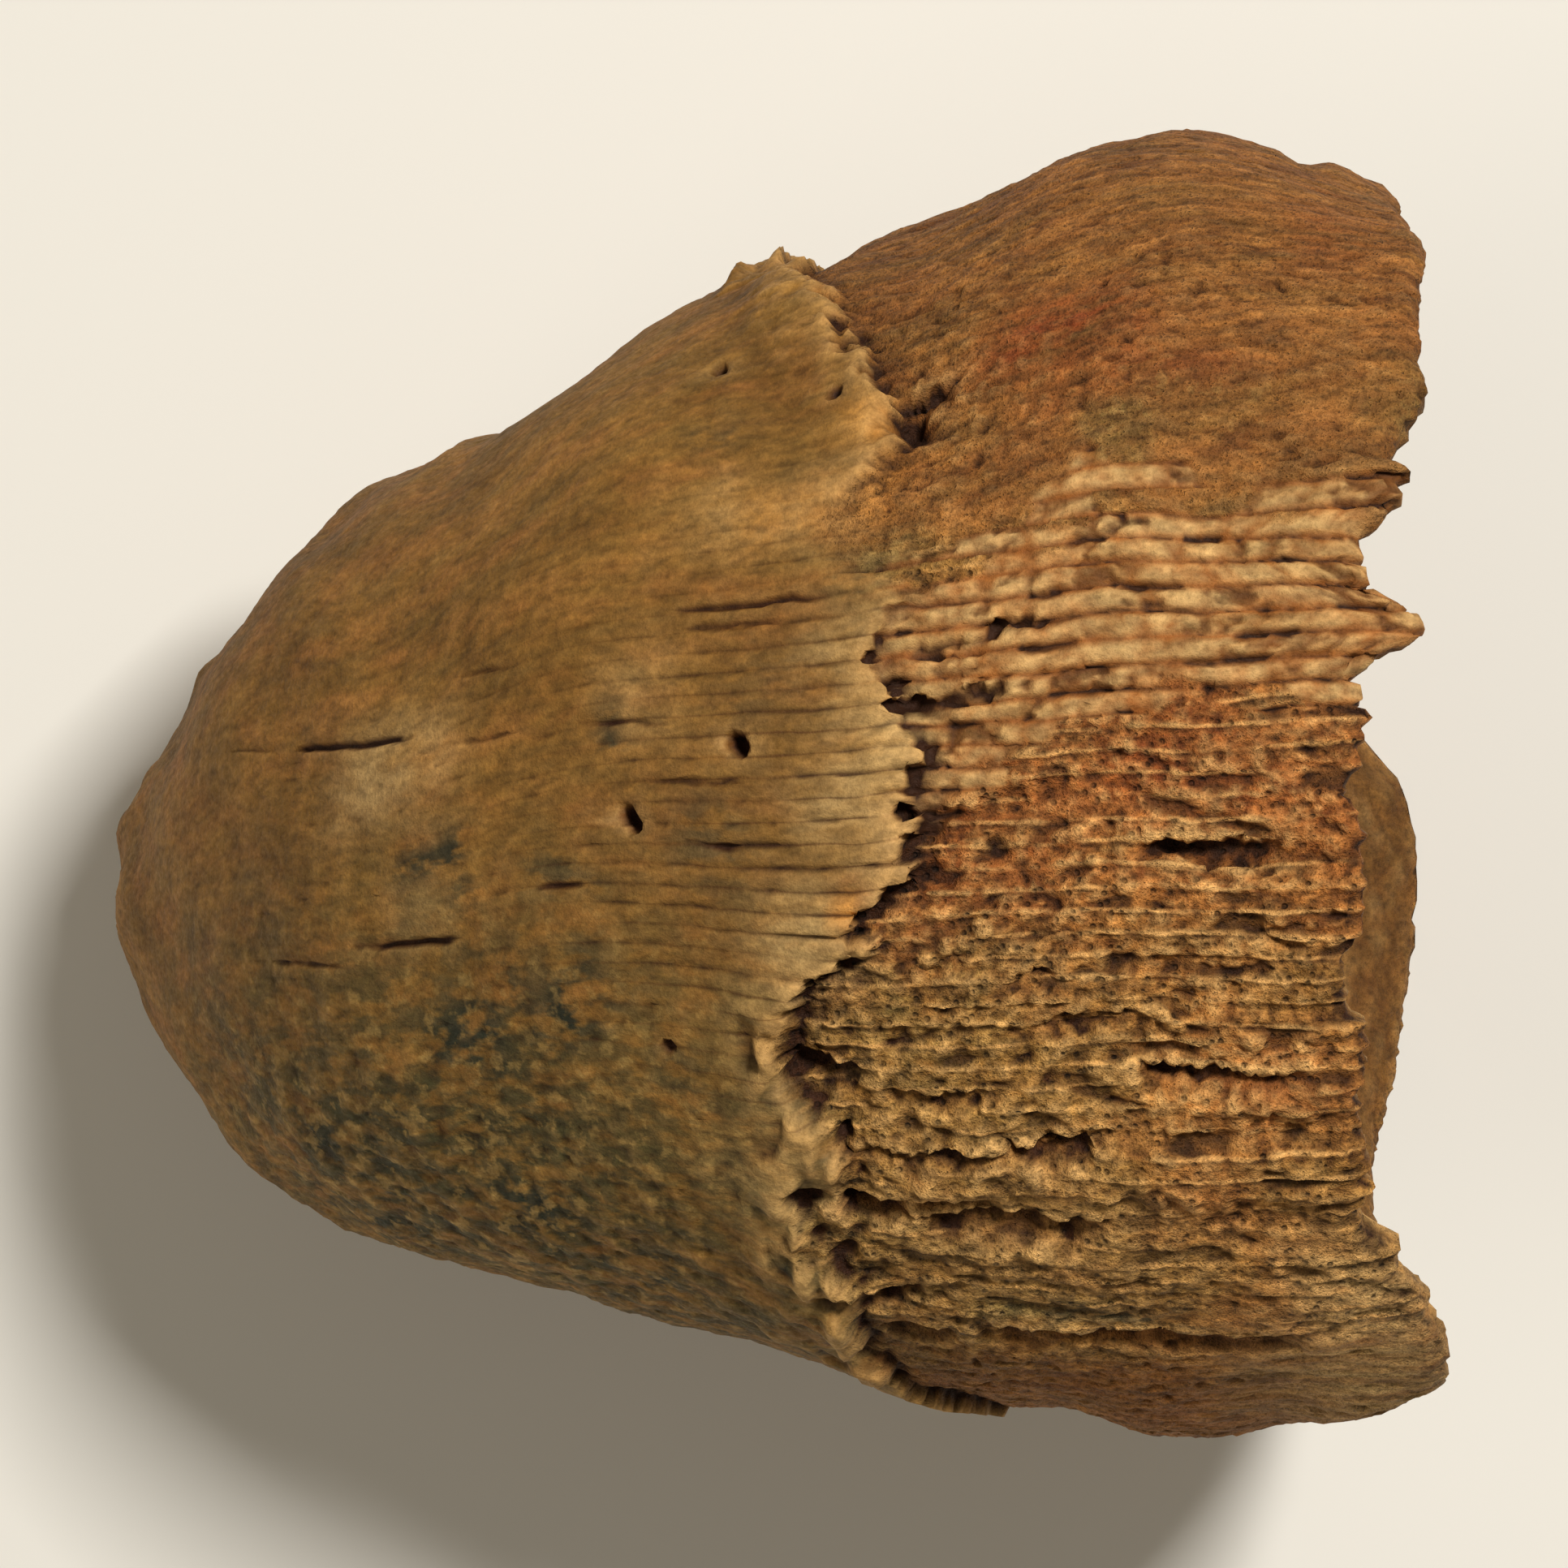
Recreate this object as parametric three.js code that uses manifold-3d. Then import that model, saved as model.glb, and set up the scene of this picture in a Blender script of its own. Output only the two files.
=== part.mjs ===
// A horn coral fossil: one solitary coral, a short curved horn that widens from a blunt tip to an open cup.
// It lies on the inside of its bend, on its tip and on the lowest stretch of the rim, with the cup facing +X
// and the back of the bend up. The outer layer of its wall ends in a ragged ledge all round the horn. Beyond
// the ledge the septa stand bare: the upright blades that ring the cup and run down the horn side by side.
//
// Lengths are in millimetres. A place on the horn is an angle round it and a stage of growth along it. The
// angle is 0 on the +Y flank, 90 along the back, 180 on the -Y flank and 270 along the belly. The stage is 0
// at the tip and 1 at the rim.
import * as THREE from "three";
import { mergeVertices } from "three/addons/utils/BufferGeometryUtils.js";
import Module from "manifold-3d";

// ---- Driving dimensions -------------------------------------------------------------------------------

// The oval outline of the horn at equal stages of growth: its middle (x, y, z), how many degrees it leans
// back from upright, and half its height and half its width.
const GROWTH = [
  { x: -16.5, y: -3.6, z: -0.6, lean: 75, high: 0, wide: 0 },
  { x: -16.4, y: -3.2, z: 0.6, lean: 75, high: 2.5, wide: 2.4 },
  { x: -17.8, y: -3.7, z: 3.7, lean: 72, high: 6.1, wide: 4.9 },
  { x: -15.9, y: -3.9, z: 8.2, lean: 55, high: 7.6, wide: 10.3 },
  { x: -12.7, y: -2.8, z: 12.8, lean: 39.5, high: 9.7, wide: 13.3 },
  { x: -8.1, y: -2.4, z: 16.8, lean: 27.7, high: 11.9, wide: 14.9 },
  { x: -1.8, y: -1.0, z: 19.4, lean: 19.2, high: 14.3, wide: 17.9 },
  { x: 5.8, y: -0.9, z: 20.3, lean: 13, high: 16.4, wide: 20.3 },
  { x: 13.0, y: 0.1, z: 19.8, lean: 8, high: 18.2, wide: 22.2 },
  { x: 20.0, y: -0.5, z: 18.9, lean: 4.5, high: 19.8, wide: 21.3 },
];
const SQUARENESS = 2.15; // exponent of the oval: 2 is an ellipse, and more is squarer

const SEPTA = 168; // septa round the horn, long and short ones in turn

// The cup, from the inner edge of the rim to its floor: the stage it has sunk to, the share of the horn's
// own radius that is left, and how far the long septa stand out there.
const CUP = [
  { stage: 0.995, share: 0.93, blade: 0.4 },
  { stage: 0.965, share: 0.87, blade: 0.7 },
  { stage: 0.93, share: 0.79, blade: 0.9 },
  { stage: 0.89, share: 0.69, blade: 1.0 },
  { stage: 0.85, share: 0.58, blade: 0.9 },
  { stage: 0.815, share: 0.45, blade: 0.7 },
];
const CUP_FLOOR = [
  { stage: 0.795, share: 0.31, blade: 0.4 },
  { stage: 0.79, share: 0.17, blade: 0 },
];
const CUP_MIDDLE_STAGE = 0.8; // a low rise in the middle of the floor

// The ledge: the stage where the outer layer ends, how far its lip stands above the plain wall there, and how
// deep the bare septa beyond it lie under the plain wall.
const LEDGE = [
  { angle: 8, stage: 0.685, lip: 0.8, drop: 0 },
  { angle: 23, stage: 0.725, lip: 0.7, drop: 0.1 },
  { angle: 41, stage: 0.765, lip: 0.5, drop: 0.4 },
  { angle: 54, stage: 0.792, lip: 0.4, drop: 0.5 },
  { angle: 61, stage: 0.76, lip: 0, drop: 0.2 },
  { angle: 71, stage: 0.8, lip: 0, drop: 0.3 },
  { angle: 76, stage: 0.784, lip: 0, drop: 0.4 },
  { angle: 85, stage: 0.81, lip: 0.1, drop: 1.1 },
  { angle: 96, stage: 0.8, lip: 0.1, drop: 1.2 },
  { angle: 104, stage: 0.777, lip: 0.1, drop: 0.8 },
  { angle: 110, stage: 0.745, lip: 0.2, drop: 0.9 },
  { angle: 126, stage: 0.762, lip: 0.3, drop: 0.8 },
  { angle: 140, stage: 0.745, lip: 0.4, drop: 0.7 },
  { angle: 146, stage: 0.761, lip: 0.5, drop: 0.7 },
  { angle: 160, stage: 0.752, lip: 0.3, drop: 0.6 },
  { angle: 172, stage: 0.785, lip: 0.3, drop: 0.4 },
  { angle: 180, stage: 0.805, lip: 0.3, drop: 0.2 },
  { angle: 205, stage: 0.78, lip: 0.5, drop: 0.2 },
  { angle: 232, stage: 0.8, lip: 0.3, drop: 0.2 },
  { angle: 262, stage: 0.83, lip: 0.2, drop: 0 },
  { angle: 284, stage: 0.79, lip: 0.3, drop: 0.1 },
  { angle: 318, stage: 0.745, lip: 0.5, drop: 0.3 },
  { angle: 342, stage: 0.69, lip: 0.7, drop: 0 },
];
const LIP_LENGTH = 0.045; // stages over which the lip rises out of the plain wall
const STEP_LENGTH = 0.008; // stages from the top of the ledge to its foot

// How far the rim stands out past the last stage, and how high the bare septa stand, round the horn.
const RIM = [
  { angle: 0, reach: -0.3, ridge: 0.12 },
  { angle: 15, reach: 0.8, ridge: 0.12 },
  { angle: 30, reach: 1.7, ridge: 0.12 },
  { angle: 48, reach: 2.1, ridge: 0.14 },
  { angle: 57, reach: 1.2, ridge: 0.18 },
  { angle: 65, reach: 1.3, ridge: 0.28 },
  { angle: 69, reach: 0.1, ridge: 0.3 },
  { angle: 80, reach: 0.2, ridge: 0.35 },
  { angle: 95, reach: 0, ridge: 0.4 },
  { angle: 125, reach: 0, ridge: 0.4 },
  { angle: 140, reach: 1.2, ridge: 0.4 },
  { angle: 152, reach: 2.8, ridge: 0.35 },
  { angle: 161, reach: 2.2, ridge: 0.3 },
  { angle: 172, reach: 0.7, ridge: 0.3 },
  { angle: 185, reach: 0.8, ridge: 0.3 },
  { angle: 230, reach: -0.2, ridge: 0.25 },
  { angle: 250, reach: 0.7, ridge: 0.1 },
  { angle: 264, reach: 1.2, ridge: 0.06 },
  { angle: 276, reach: -0.5, ridge: 0.06 },
  { angle: 282, reach: -1.0, ridge: 0.06 },
  { angle: 296, reach: -1.1, ridge: 0.15 },
  { angle: 325, reach: 0, ridge: 0.25 },
];
const RIM_REACH_FROM = 0.9; // the stage where the rim starts to stand out or fall short
const RIM_TOOTH = { least: 0.15, most: 0.75 }; // how far a septum's end stands out past its neighbours
const LONG_TOOTH = { angle: 74, wide: 5, long: 2.4 }; // one septum that broke off longer than the rest

// Hollows and slots between the bare septa, where the tissue between them has weathered out.
const HOLLOWS = [
  { angle: 94, wide: 4.5, from: 0.81, to: 0.9, deep: 0.7 },
  { angle: 95, wide: 2, from: 0.9, to: 0.965, deep: 0.9 },
  { angle: 75, wide: 1.6, from: 0.8, to: 0.85, deep: 0.6 },
  { angle: 84.5, wide: 1.6, from: 0.815, to: 0.9, deep: 0.5 },
  { angle: 114, wide: 1.8, from: 0.9, to: 0.97, deep: 1.0 },
  { angle: 118.5, wide: 2, from: 0.84, to: 0.9, deep: 1.2 },
  { angle: 122, wide: 1.4, from: 0.77, to: 0.85, deep: 0.8 },
  { angle: 131, wide: 2, from: 0.755, to: 0.8, deep: 1.0 },
  { angle: 146, wide: 2.4, from: 0.765, to: 0.8, deep: 1.2 },
  { angle: 146, wide: 1.8, from: 0.81, to: 0.95, deep: 1.2 },
  { angle: 54, wide: 2.5, from: 0.79, to: 0.815, deep: 0.8 },
  { angle: 201, wide: 2, from: 0.82, to: 0.93, deep: 0.9 },
  { angle: 222, wide: 1.8, from: 0.86, to: 0.95, deep: 0.8 },
  { angle: 309, wide: 1.8, from: 0.8, to: 0.88, deep: 0.8 },
  { angle: 336, wide: 2, from: 0.85, to: 0.95, deep: 0.8 },
];
const HOLLOW_END = 0.012; // stages over which a hollow runs out at its ends

// Low swellings and dents of the wall, each as far round and along as it is wide and long.
const SWELLINGS = [
  { angle: 5, wide: 25, stage: 0.715, long: 0.035, high: -0.6 },
  { angle: 5, wide: 20, stage: 0.99, long: 0.045, high: -0.6 },
  { angle: 180, wide: 20, stage: 0.845, long: 0.04, high: -0.45 },
  { angle: 186, wide: 18, stage: 0.59, long: 0.025, high: -0.7 },
  { angle: 186, wide: 14, stage: 0.63, long: 0.02, high: 0.45 },
  { angle: 50, wide: 18, stage: 0.27, long: 0.035, high: -0.5 },
  { angle: 66, wide: 16, stage: 0.25, long: 0.05, high: 0.3 },
  { angle: 8, wide: 22, stage: 0.42, long: 0.035, high: 0.4 },
  { angle: 120, wide: 40, stage: 0.5, long: 0.1, high: 0.3 },
  { angle: 60, wide: 30, stage: 0.4, long: 0.08, high: 0.25 },
  { angle: 240, wide: 35, stage: 0.45, long: 0.08, high: 0.3 },
];
const LUMPS = { high: 0.16, round: 9, along: 7 }; // gentle unevenness: height, and waves round and along

const ORIGIN = { x: -0.38, y: 0.08 }; // middle of the part's box, seen from above
const GROUND = 80; // side of the block that cuts the flats, larger than the horn

// The smooth wall and the bare septa in rows, and how many points a row has.
const COARSE = SEPTA / 2;
const SMOOTH_ROWS = [0.045, 0.1, 0.17, 0.25, 0.34, 0.44, 0.54, 0.64, 0.74];
const STRIPED_ROWS = [0.84, 0.93, 1];
const BARE_ROWS = [0, 0.1, 0.22, 0.34, 0.46, 0.58, 0.7, 0.82, 0.92];

// ---- Shapes of one variable ---------------------------------------------------------------------------

const radians = THREE.MathUtils.degToRad;
const smooth = (value, from, to) => THREE.MathUtils.smoothstep(value, from, to);

/** The shorter way round from one angle to another, in degrees. */
function turn(angle, from) {
  return THREE.MathUtils.euclideanModulo(angle - from + 180, 360) - 180;
}

/** A value listed at a few angles round the horn, with straight lines between them. */
function around(list, key, angle) {
  const next = list.findIndex((row) => row.angle > angle);
  const b = list[next < 0 ? 0 : next];
  const a = list[(list.indexOf(b) + list.length - 1) % list.length];
  const part = (angle - a.angle + 360) % 360 / ((b.angle - a.angle + 360) % 360);
  return THREE.MathUtils.lerp(a[key], b[key], part);
}

/** A soft hump: 1 in the middle, 0 from one width away. */
function hump(distance, width) {
  const d = Math.min(1, Math.abs(distance / width));
  return (1 - d * d) ** 2;
}

// ---- The wall of the horn -----------------------------------------------------------------------------

const middles = new THREE.CatmullRomCurve3(
  GROWTH.map((g) => new THREE.Vector3(g.x, g.y, g.z)), false, "catmullrom");
const ovals = new THREE.CatmullRomCurve3(
  GROWTH.map((g) => new THREE.Vector3(g.lean, g.high, g.wide)), false, "catmullrom");

/** The horn's outline at a stage: its middle, and the arm from there out to the plain wall at an angle. */
function outline(angle, stage) {
  const [lean, high, wide] = ovals.getPoint(stage).toArray();
  const c = Math.cos(radians(angle));
  const s = Math.sin(radians(angle));
  const reach = (Math.abs(c) ** SQUARENESS + Math.abs(s) ** SQUARENESS) ** (-1 / SQUARENESS);
  const up = new THREE.Vector3(-Math.sin(radians(lean)), 0, Math.cos(radians(lean)));
  const arm = up.multiplyScalar(high * s * reach).add(new THREE.Vector3(0, wide * c * reach, 0));
  return { middle: middles.getPoint(stage), arm };
}

/** How far past the last stage the wall is drawn out near the rim. */
function rimReach(angle, stage) {
  const long = LONG_TOOTH.long * hump(turn(angle, LONG_TOOTH.angle), LONG_TOOTH.wide);
  return (around(RIM, "reach", angle) + long) * smooth(stage, RIM_REACH_FROM, 1);
}

/** Height of the layers at a place: the outer layer rises to its lip, and the bare septa lie lower. */
function layers(angle, stage) {
  const ledge = around(LEDGE, "stage", angle);
  const bare = smooth(stage, ledge - STEP_LENGTH / 2, ledge + STEP_LENGTH / 2);
  const lip = around(LEDGE, "lip", angle) * smooth(stage, ledge - LIP_LENGTH, ledge);
  return THREE.MathUtils.lerp(lip, -around(LEDGE, "drop", angle), bare);
}

/** Low unevenness of the whole wall: swellings, dents and lumps. */
function unevenness(angle, stage) {
  const a = radians(angle);
  const lumps = Math.sin(LUMPS.round * a + 3 * Math.sin(LUMPS.along * stage)) *
    Math.sin(2 * Math.PI * LUMPS.along * stage + 2 * Math.cos(2 * a));
  return SWELLINGS.reduce(
    (sum, s) => sum + s.high * hump(turn(angle, s.angle), s.wide) * hump(stage - s.stage, s.long),
    LUMPS.high * lumps * smooth(stage, 0.05, 0.3));
}

/** How deep the hollows between the septa are at a place. */
function hollow(angle, stage) {
  return HOLLOWS.reduce((deepest, h) => {
    const along = smooth(stage, h.from - HOLLOW_END, h.from + HOLLOW_END) *
      (1 - smooth(stage, h.to - HOLLOW_END, h.to + HOLLOW_END));
    return Math.max(deepest, h.deep * along * hump(turn(angle, h.angle), h.wide));
  }, 0);
}

/** Height of the septa's ridges: fine stripes on the outer layer, and bare blades beyond the ledge. */
function ridgeHeight(angle, stage) {
  const ledge = around(LEDGE, "stage", angle);
  const stripes = 0.08 * smooth(stage, 0.4, 0.7);
  const bare = smooth(stage, ledge, ledge + STEP_LENGTH);
  return THREE.MathUtils.lerp(stripes, around(RIM, "ridge", angle), bare);
}

/** A point of the outer wall, where crest is 1 on a septum, -1 between two and 0 where none shows. */
function wallPoint(angle, stage, crest) {
  const { middle, arm } = outline(angle, stage);
  const relief = unevenness(angle, stage) + layers(angle, stage) - hollow(angle, stage) +
    crest * ridgeHeight(angle, stage);
  const length = arm.length();
  const worn = 0.5 + 0.5 * Math.sin(angle) * Math.cos(2.7 * angle);
  const tooth = THREE.MathUtils.lerp(RIM_TOOTH.least, RIM_TOOTH.most, worn) * Math.max(0, crest) *
    smooth(stage, 0.97, 1);
  const point = middle.addScaledVector(arm, (length + relief) / length);
  point.x += rimReach(angle, stage) + tooth;
  return point;
}

/** A point of the cup, inside the rim: it follows the wall outside, and the septa stand in from it. */
function cupPoint(angle, { stage, share, blade }, crest) {
  const { middle, arm } = outline(angle, stage);
  const length = arm.length();
  const nearRim = smooth(share, 0.6, 0.9);
  const inset = crest * blade - (unevenness(angle, stage) + layers(angle, stage)) * nearRim;
  const point = middle.addScaledVector(arm, (share * length - inset) / length);
  point.x += rimReach(angle, 1) * nearRim;
  return point;
}

// ---- The solid ----------------------------------------------------------------------------------------

const points = [];
const faces = [];

/** Adds a row of points round the horn and returns their numbers. */
function addRow(count, pointAt) {
  return Array.from({ length: count }, (_, i) => {
    const crest = count === SEPTA ? (i % 2 ? -1 : 1) : 0;
    return points.push(pointAt((360 * i) / count, crest)) - 1;
  });
}

/** Joins two neighbouring rows, which may have different counts, with a strip of triangles. */
function stitch(a, b) {
  for (let i = 0, j = 0; i < a.length || j < b.length; ) {
    const stepA = j >= b.length || (i + 1) / a.length <= (j + 1) / b.length;
    const [p, q] = [a[i % a.length], b[j % b.length]];
    faces.push(q, p, stepA ? a[++i % a.length] : b[++j % b.length]);
  }
}

/** Closes a row with a fan of triangles to one point before it or beyond it. */
function fan(row, end, beyond) {
  row.forEach((p, i) => {
    const next = row[(i + 1) % row.length];
    faces.push(...(beyond ? [p, next, end] : [next, p, end]));
  });
}

const tip = points.push(outline(0, 0).middle) - 1;
const rows = [
  ...SMOOTH_ROWS.map((part) =>
    addRow(COARSE, (angle) => wallPoint(angle, part * around(LEDGE, "stage", angle), 0))),
  ...STRIPED_ROWS.map((part) =>
    addRow(SEPTA, (angle, crest) =>
      wallPoint(angle, part * around(LEDGE, "stage", angle) - STEP_LENGTH / 2, crest))),
  ...[...BARE_ROWS, 1].map((part) =>
    addRow(SEPTA, (angle, crest) => {
      const foot = around(LEDGE, "stage", angle) + STEP_LENGTH / 2;
      return wallPoint(angle, THREE.MathUtils.lerp(foot, 1, part), crest);
    })),
  ...CUP.map((level) => addRow(SEPTA, (angle, crest) => cupPoint(angle, level, crest))),
  ...CUP_FLOOR.map((level) => addRow(COARSE, (angle) => cupPoint(angle, level, 0))),
];
fan(rows[0], tip, false);
rows.slice(1).forEach((row, i) => stitch(rows[i], row));
fan(rows.at(-1), points.push(outline(0, CUP_MIDDLE_STAGE).middle) - 1, true);

const horn = new THREE.BufferGeometry().setFromPoints(points);
horn.setIndex(faces);

// ---- The worn flats that it lies on -------------------------------------------------------------------

const wasm = await Module();
wasm.setup();

/** A closed geometry as a solid that can be joined and cut. */
function solid(geometry) {
  const whole = geometry.clone();
  whole.deleteAttribute("normal");
  whole.deleteAttribute("uv");
  const merged = mergeVertices(whole);
  return new wasm.Manifold(new wasm.Mesh({
    numProp: 3,
    vertProperties: new Float32Array(merged.getAttribute("position").array),
    triVerts: new Uint32Array(merged.getIndex().array),
  }));
}

/** A solid as a geometry again. */
function geometryOf(made) {
  const mesh = made.getMesh();
  return new THREE.BufferGeometry()
    .setAttribute("position", new THREE.BufferAttribute(mesh.vertProperties, 3))
    .setIndex(new THREE.BufferAttribute(mesh.triVerts, 1));
}

const ground = new THREE.BoxGeometry(GROUND, GROUND, GROUND).translate(0, 0, -GROUND / 2);
const worn = geometryOf(solid(horn).subtract(solid(ground)));
worn.computeVertexNormals();

// ---- The part -----------------------------------------------------------------------------------------

const stone = new THREE.MeshStandardMaterial({ color: 0xa07648, roughness: 0.75, metalness: 0 });
const corallum = new THREE.Mesh(worn, stone);
corallum.name = "corallum";
corallum.position.set(-ORIGIN.x, -ORIGIN.y, 0);

const fossil = new THREE.Group();
fossil.add(corallum);

export default fossil;
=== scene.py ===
# %% [markdown]
# # A horn coral fossil
#
# A horn coral was one soft animal in a cup of lime. As it grew it moved up, and the cup became a curved horn.
# Upright blades, the septa, ring the cup and run down the whole horn. On this one the outer layer of the wall
# has weathered away near the cup, so the septa stand bare there, beyond a ragged ledge.
#
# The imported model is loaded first. It says where the fossil lies and how large it is, in metres.

# %% Load the frame
import itertools
import math

import bmesh
import bpy
import numpy as np
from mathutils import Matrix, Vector


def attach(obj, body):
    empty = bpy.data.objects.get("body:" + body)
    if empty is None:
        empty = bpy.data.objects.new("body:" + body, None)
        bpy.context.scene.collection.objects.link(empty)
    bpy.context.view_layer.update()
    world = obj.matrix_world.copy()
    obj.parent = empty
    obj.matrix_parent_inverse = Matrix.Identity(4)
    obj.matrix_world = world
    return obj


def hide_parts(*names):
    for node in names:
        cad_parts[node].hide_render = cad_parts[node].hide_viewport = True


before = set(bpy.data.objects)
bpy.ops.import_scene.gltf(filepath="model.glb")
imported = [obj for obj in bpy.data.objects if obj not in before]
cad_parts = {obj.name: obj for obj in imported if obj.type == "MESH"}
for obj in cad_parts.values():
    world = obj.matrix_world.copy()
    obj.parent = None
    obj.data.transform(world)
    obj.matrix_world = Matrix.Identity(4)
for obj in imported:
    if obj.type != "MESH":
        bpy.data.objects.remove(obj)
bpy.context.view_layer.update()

MM = 0.001  # metres in a millimetre
ORIGIN = np.array([-0.38, 0.08, 0.0]) * MM  # the part's origin, in the frame that the horn is drawn in

# %% [markdown]
# ## Camera
#
# The camera looks straight down on the back of the bend. It stands about ten lengths of the fossil away and has a
# long lens, because from there the near and far parts of the horn come out at nearly the same scale.

# %% Camera
CAMERA_HEIGHT = 0.439
MID_HEIGHT = 0.019  # the height where the frame's width is measured
PIXELS_WIDE = 1932
PIXEL = 0.028 * MM  # the size of a pixel at that height
FRAME_WIDTH = PIXELS_WIDE * PIXEL
SENSOR = 36.0



def put_in_scene(name, data):
    """A new object in the scene."""
    made = bpy.data.objects.new(name, data)
    bpy.context.scene.collection.objects.link(made)
    return made


camera_data = bpy.data.cameras.new("camera")
camera_data.sensor_width = SENSOR
camera_data.lens = SENSOR * (CAMERA_HEIGHT - MID_HEIGHT) / FRAME_WIDTH
camera = put_in_scene("camera", camera_data)
camera.location = Vector((-ORIGIN[0], -ORIGIN[1], CAMERA_HEIGHT))
bpy.context.scene.camera = camera
print("lens", round(camera_data.lens, 1), "mm")

# %% [markdown]
# ## Floor
#
# A fossil is usually shown on a sheet of paper. One large square with a dull, pale finish does for it, and it is
# laid a hair low, so that it never lies in one plane with the flats that the horn rests on.

# %% Floor
FLOOR_SIDE = 2.0
FLOOR_DROP = 0.00005
PAPER = (0.78, 0.77, 0.75, 1)
PAPER_ROUGHNESS = 0.9

floor_mesh = bpy.data.meshes.new("floor")
half = FLOOR_SIDE / 2
floor_mesh.from_pydata([(-half, -half, 0), (half, -half, 0), (half, half, 0), (-half, half, 0)], [], [(0, 1, 2, 3)])
floor = put_in_scene("floor", floor_mesh)
floor.location.z = -FLOOR_DROP
paper = bpy.data.materials.new("floor paper")
paper.use_nodes = True
paper_shader = paper.node_tree.nodes["Principled BSDF"]
paper_shader.inputs["Base Color"].default_value = PAPER
paper_shader.inputs["Roughness"].default_value = PAPER_ROUGHNESS
floor_mesh.materials.append(paper)
print("floor", FLOOR_SIDE, "m square")

# %% [markdown]
# ## Lights
#
# Ridges and pits only show in light that rakes across them, so the key light stands to one side. It is an area
# light, like a studio's softbox, and its shadows are soft. A weak second box and a faint warm glow from all round
# fill the shadows, as pale walls would.

# %% Lights
KEY_COLOUR = (1.0, 0.96, 0.88)
FILL_COLOUR = (1.0, 0.92, 0.78)
GLOW_COLOUR = (1, 0.9, 0.68, 1)
GLOW_STRENGTH = 0.16


def softbox(name, place, side, watts, colour):
    """A square soft light that faces the fossil."""
    data = bpy.data.lights.new(name, "AREA")
    data.size = side
    data.energy = watts
    data.color = colour
    light = put_in_scene(name, data)
    light.location = place
    aim = Vector((0, 0, MID_HEIGHT)) - Vector(place)
    light.rotation_euler = aim.to_track_quat("-Z", "Y").to_euler()
    print(name, "of", watts, "W,", round(aim.length, 2), "m away")


softbox("key light", place=(0.2, 0.2, 0.48), side=0.12, watts=3.1, colour=KEY_COLOUR)
softbox("fill light", place=(-0.42, -0.15, 0.35), side=0.4, watts=0.7, colour=FILL_COLOUR)
world = bpy.data.worlds.new("studio")
bpy.context.scene.world = world
world.use_nodes = True
glow = world.node_tree.nodes["Background"]
glow.inputs["Color"].default_value = GLOW_COLOUR
glow.inputs["Strength"].default_value = GLOW_STRENGTH
bpy.context.scene.view_settings.view_transform = "Standard"
bpy.context.scene.view_settings.look = "None"

# %% [markdown]
# ## The form of the horn
#
# Every place on the horn has an angle round it and a stage of growth along it. The angle is 0 on the +Y flank,
# 90 along the back, 180 on the -Y flank and 270 along the belly. The stage is 0 at the tip and 1 at the rim.
# A handful of growth lines carries the whole form: each is an oval with a middle, a lean, a height and a
# width. A smooth curve through them gives any line between. Sculpting would be freer, but a form that is worked
# out from a few lines can carry its septa along with it, because they run at constant angles.

# %% The growth lines
# middle x, y, z, degrees the oval leans back, half its height and half its width, in millimetres
GROWTH = np.array([
    (-16.5, -3.6, -0.6, 75, 0, 0),
    (-16.4, -3.2, 0.6, 75, 2.5, 2.4),
    (-17.8, -3.7, 3.7, 72, 6.1, 4.9),
    (-15.9, -3.9, 8.2, 55, 7.6, 10.3),
    (-12.7, -2.8, 12.8, 39.5, 9.7, 13.3),
    (-8.1, -2.4, 16.8, 27.7, 11.9, 14.9),
    (-1.8, -1.0, 19.4, 19.2, 14.3, 17.9),
    (5.8, -0.9, 20.3, 13, 16.4, 20.3),
    (13.0, 0.1, 19.8, 8, 18.2, 22.2),
    (20.0, -0.5, 18.9, 4.5, 19.8, 21.3),
])
SQUARENESS = 2.15  # exponent of the ovals: 2 is an ellipse, and more is squarer


def growth_line(stage):
    """The six values of GROWTH at any stages, on a smooth curve through them."""
    ends = np.vstack([2 * GROWTH[0] - GROWTH[1], GROWTH, 2 * GROWTH[-1] - GROWTH[-2]])
    at = np.clip(stage, 0, 1) * (len(GROWTH) - 1)
    i = np.clip(np.floor(at).astype(int), 0, len(GROWTH) - 2)
    f = (at - i)[..., None]
    a, b, c, d = ends[i], ends[i + 1], ends[i + 2], ends[i + 3]
    return b + 0.5 * f * (c - a + f * (2 * a - 5 * b + 4 * c - d + f * (3 * (b - c) + d - a)))


def on_horn(angle, stage, share=1.0):
    """Points in millimetres at angles and stages, where share is the part of the way from the middle out."""
    x, y, z, lean, tall, wide = np.moveaxis(growth_line(stage), -1, 0)
    c, s = np.cos(np.radians(angle)), np.sin(np.radians(angle))
    reach = share * (np.abs(c) ** SQUARENESS + np.abs(s) ** SQUARENESS) ** (-1 / SQUARENESS)
    lean = np.radians(lean)
    up = tall * s * reach
    return np.stack([x - np.sin(lean) * up, y + wide * c * reach, z + np.cos(lean) * up], -1)


print(len(GROWTH), "growth lines, the last one", 2 * GROWTH[-1, 5], "mm wide")


# %% [markdown]
# ## The layers of the wall
#
# The outer layer ends in a lip, and the bare septa lie a little under it. The rim is worn to different lengths.
# Where the tissue between two septa has weathered out, there are long hollows. These are the larger forms, and
# each is a short list of places with a height, which is the easiest thing to read and to change later.

# %% Lists round the horn
SEPTA = 168  # septa round the horn, long and short ones in turn
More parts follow.
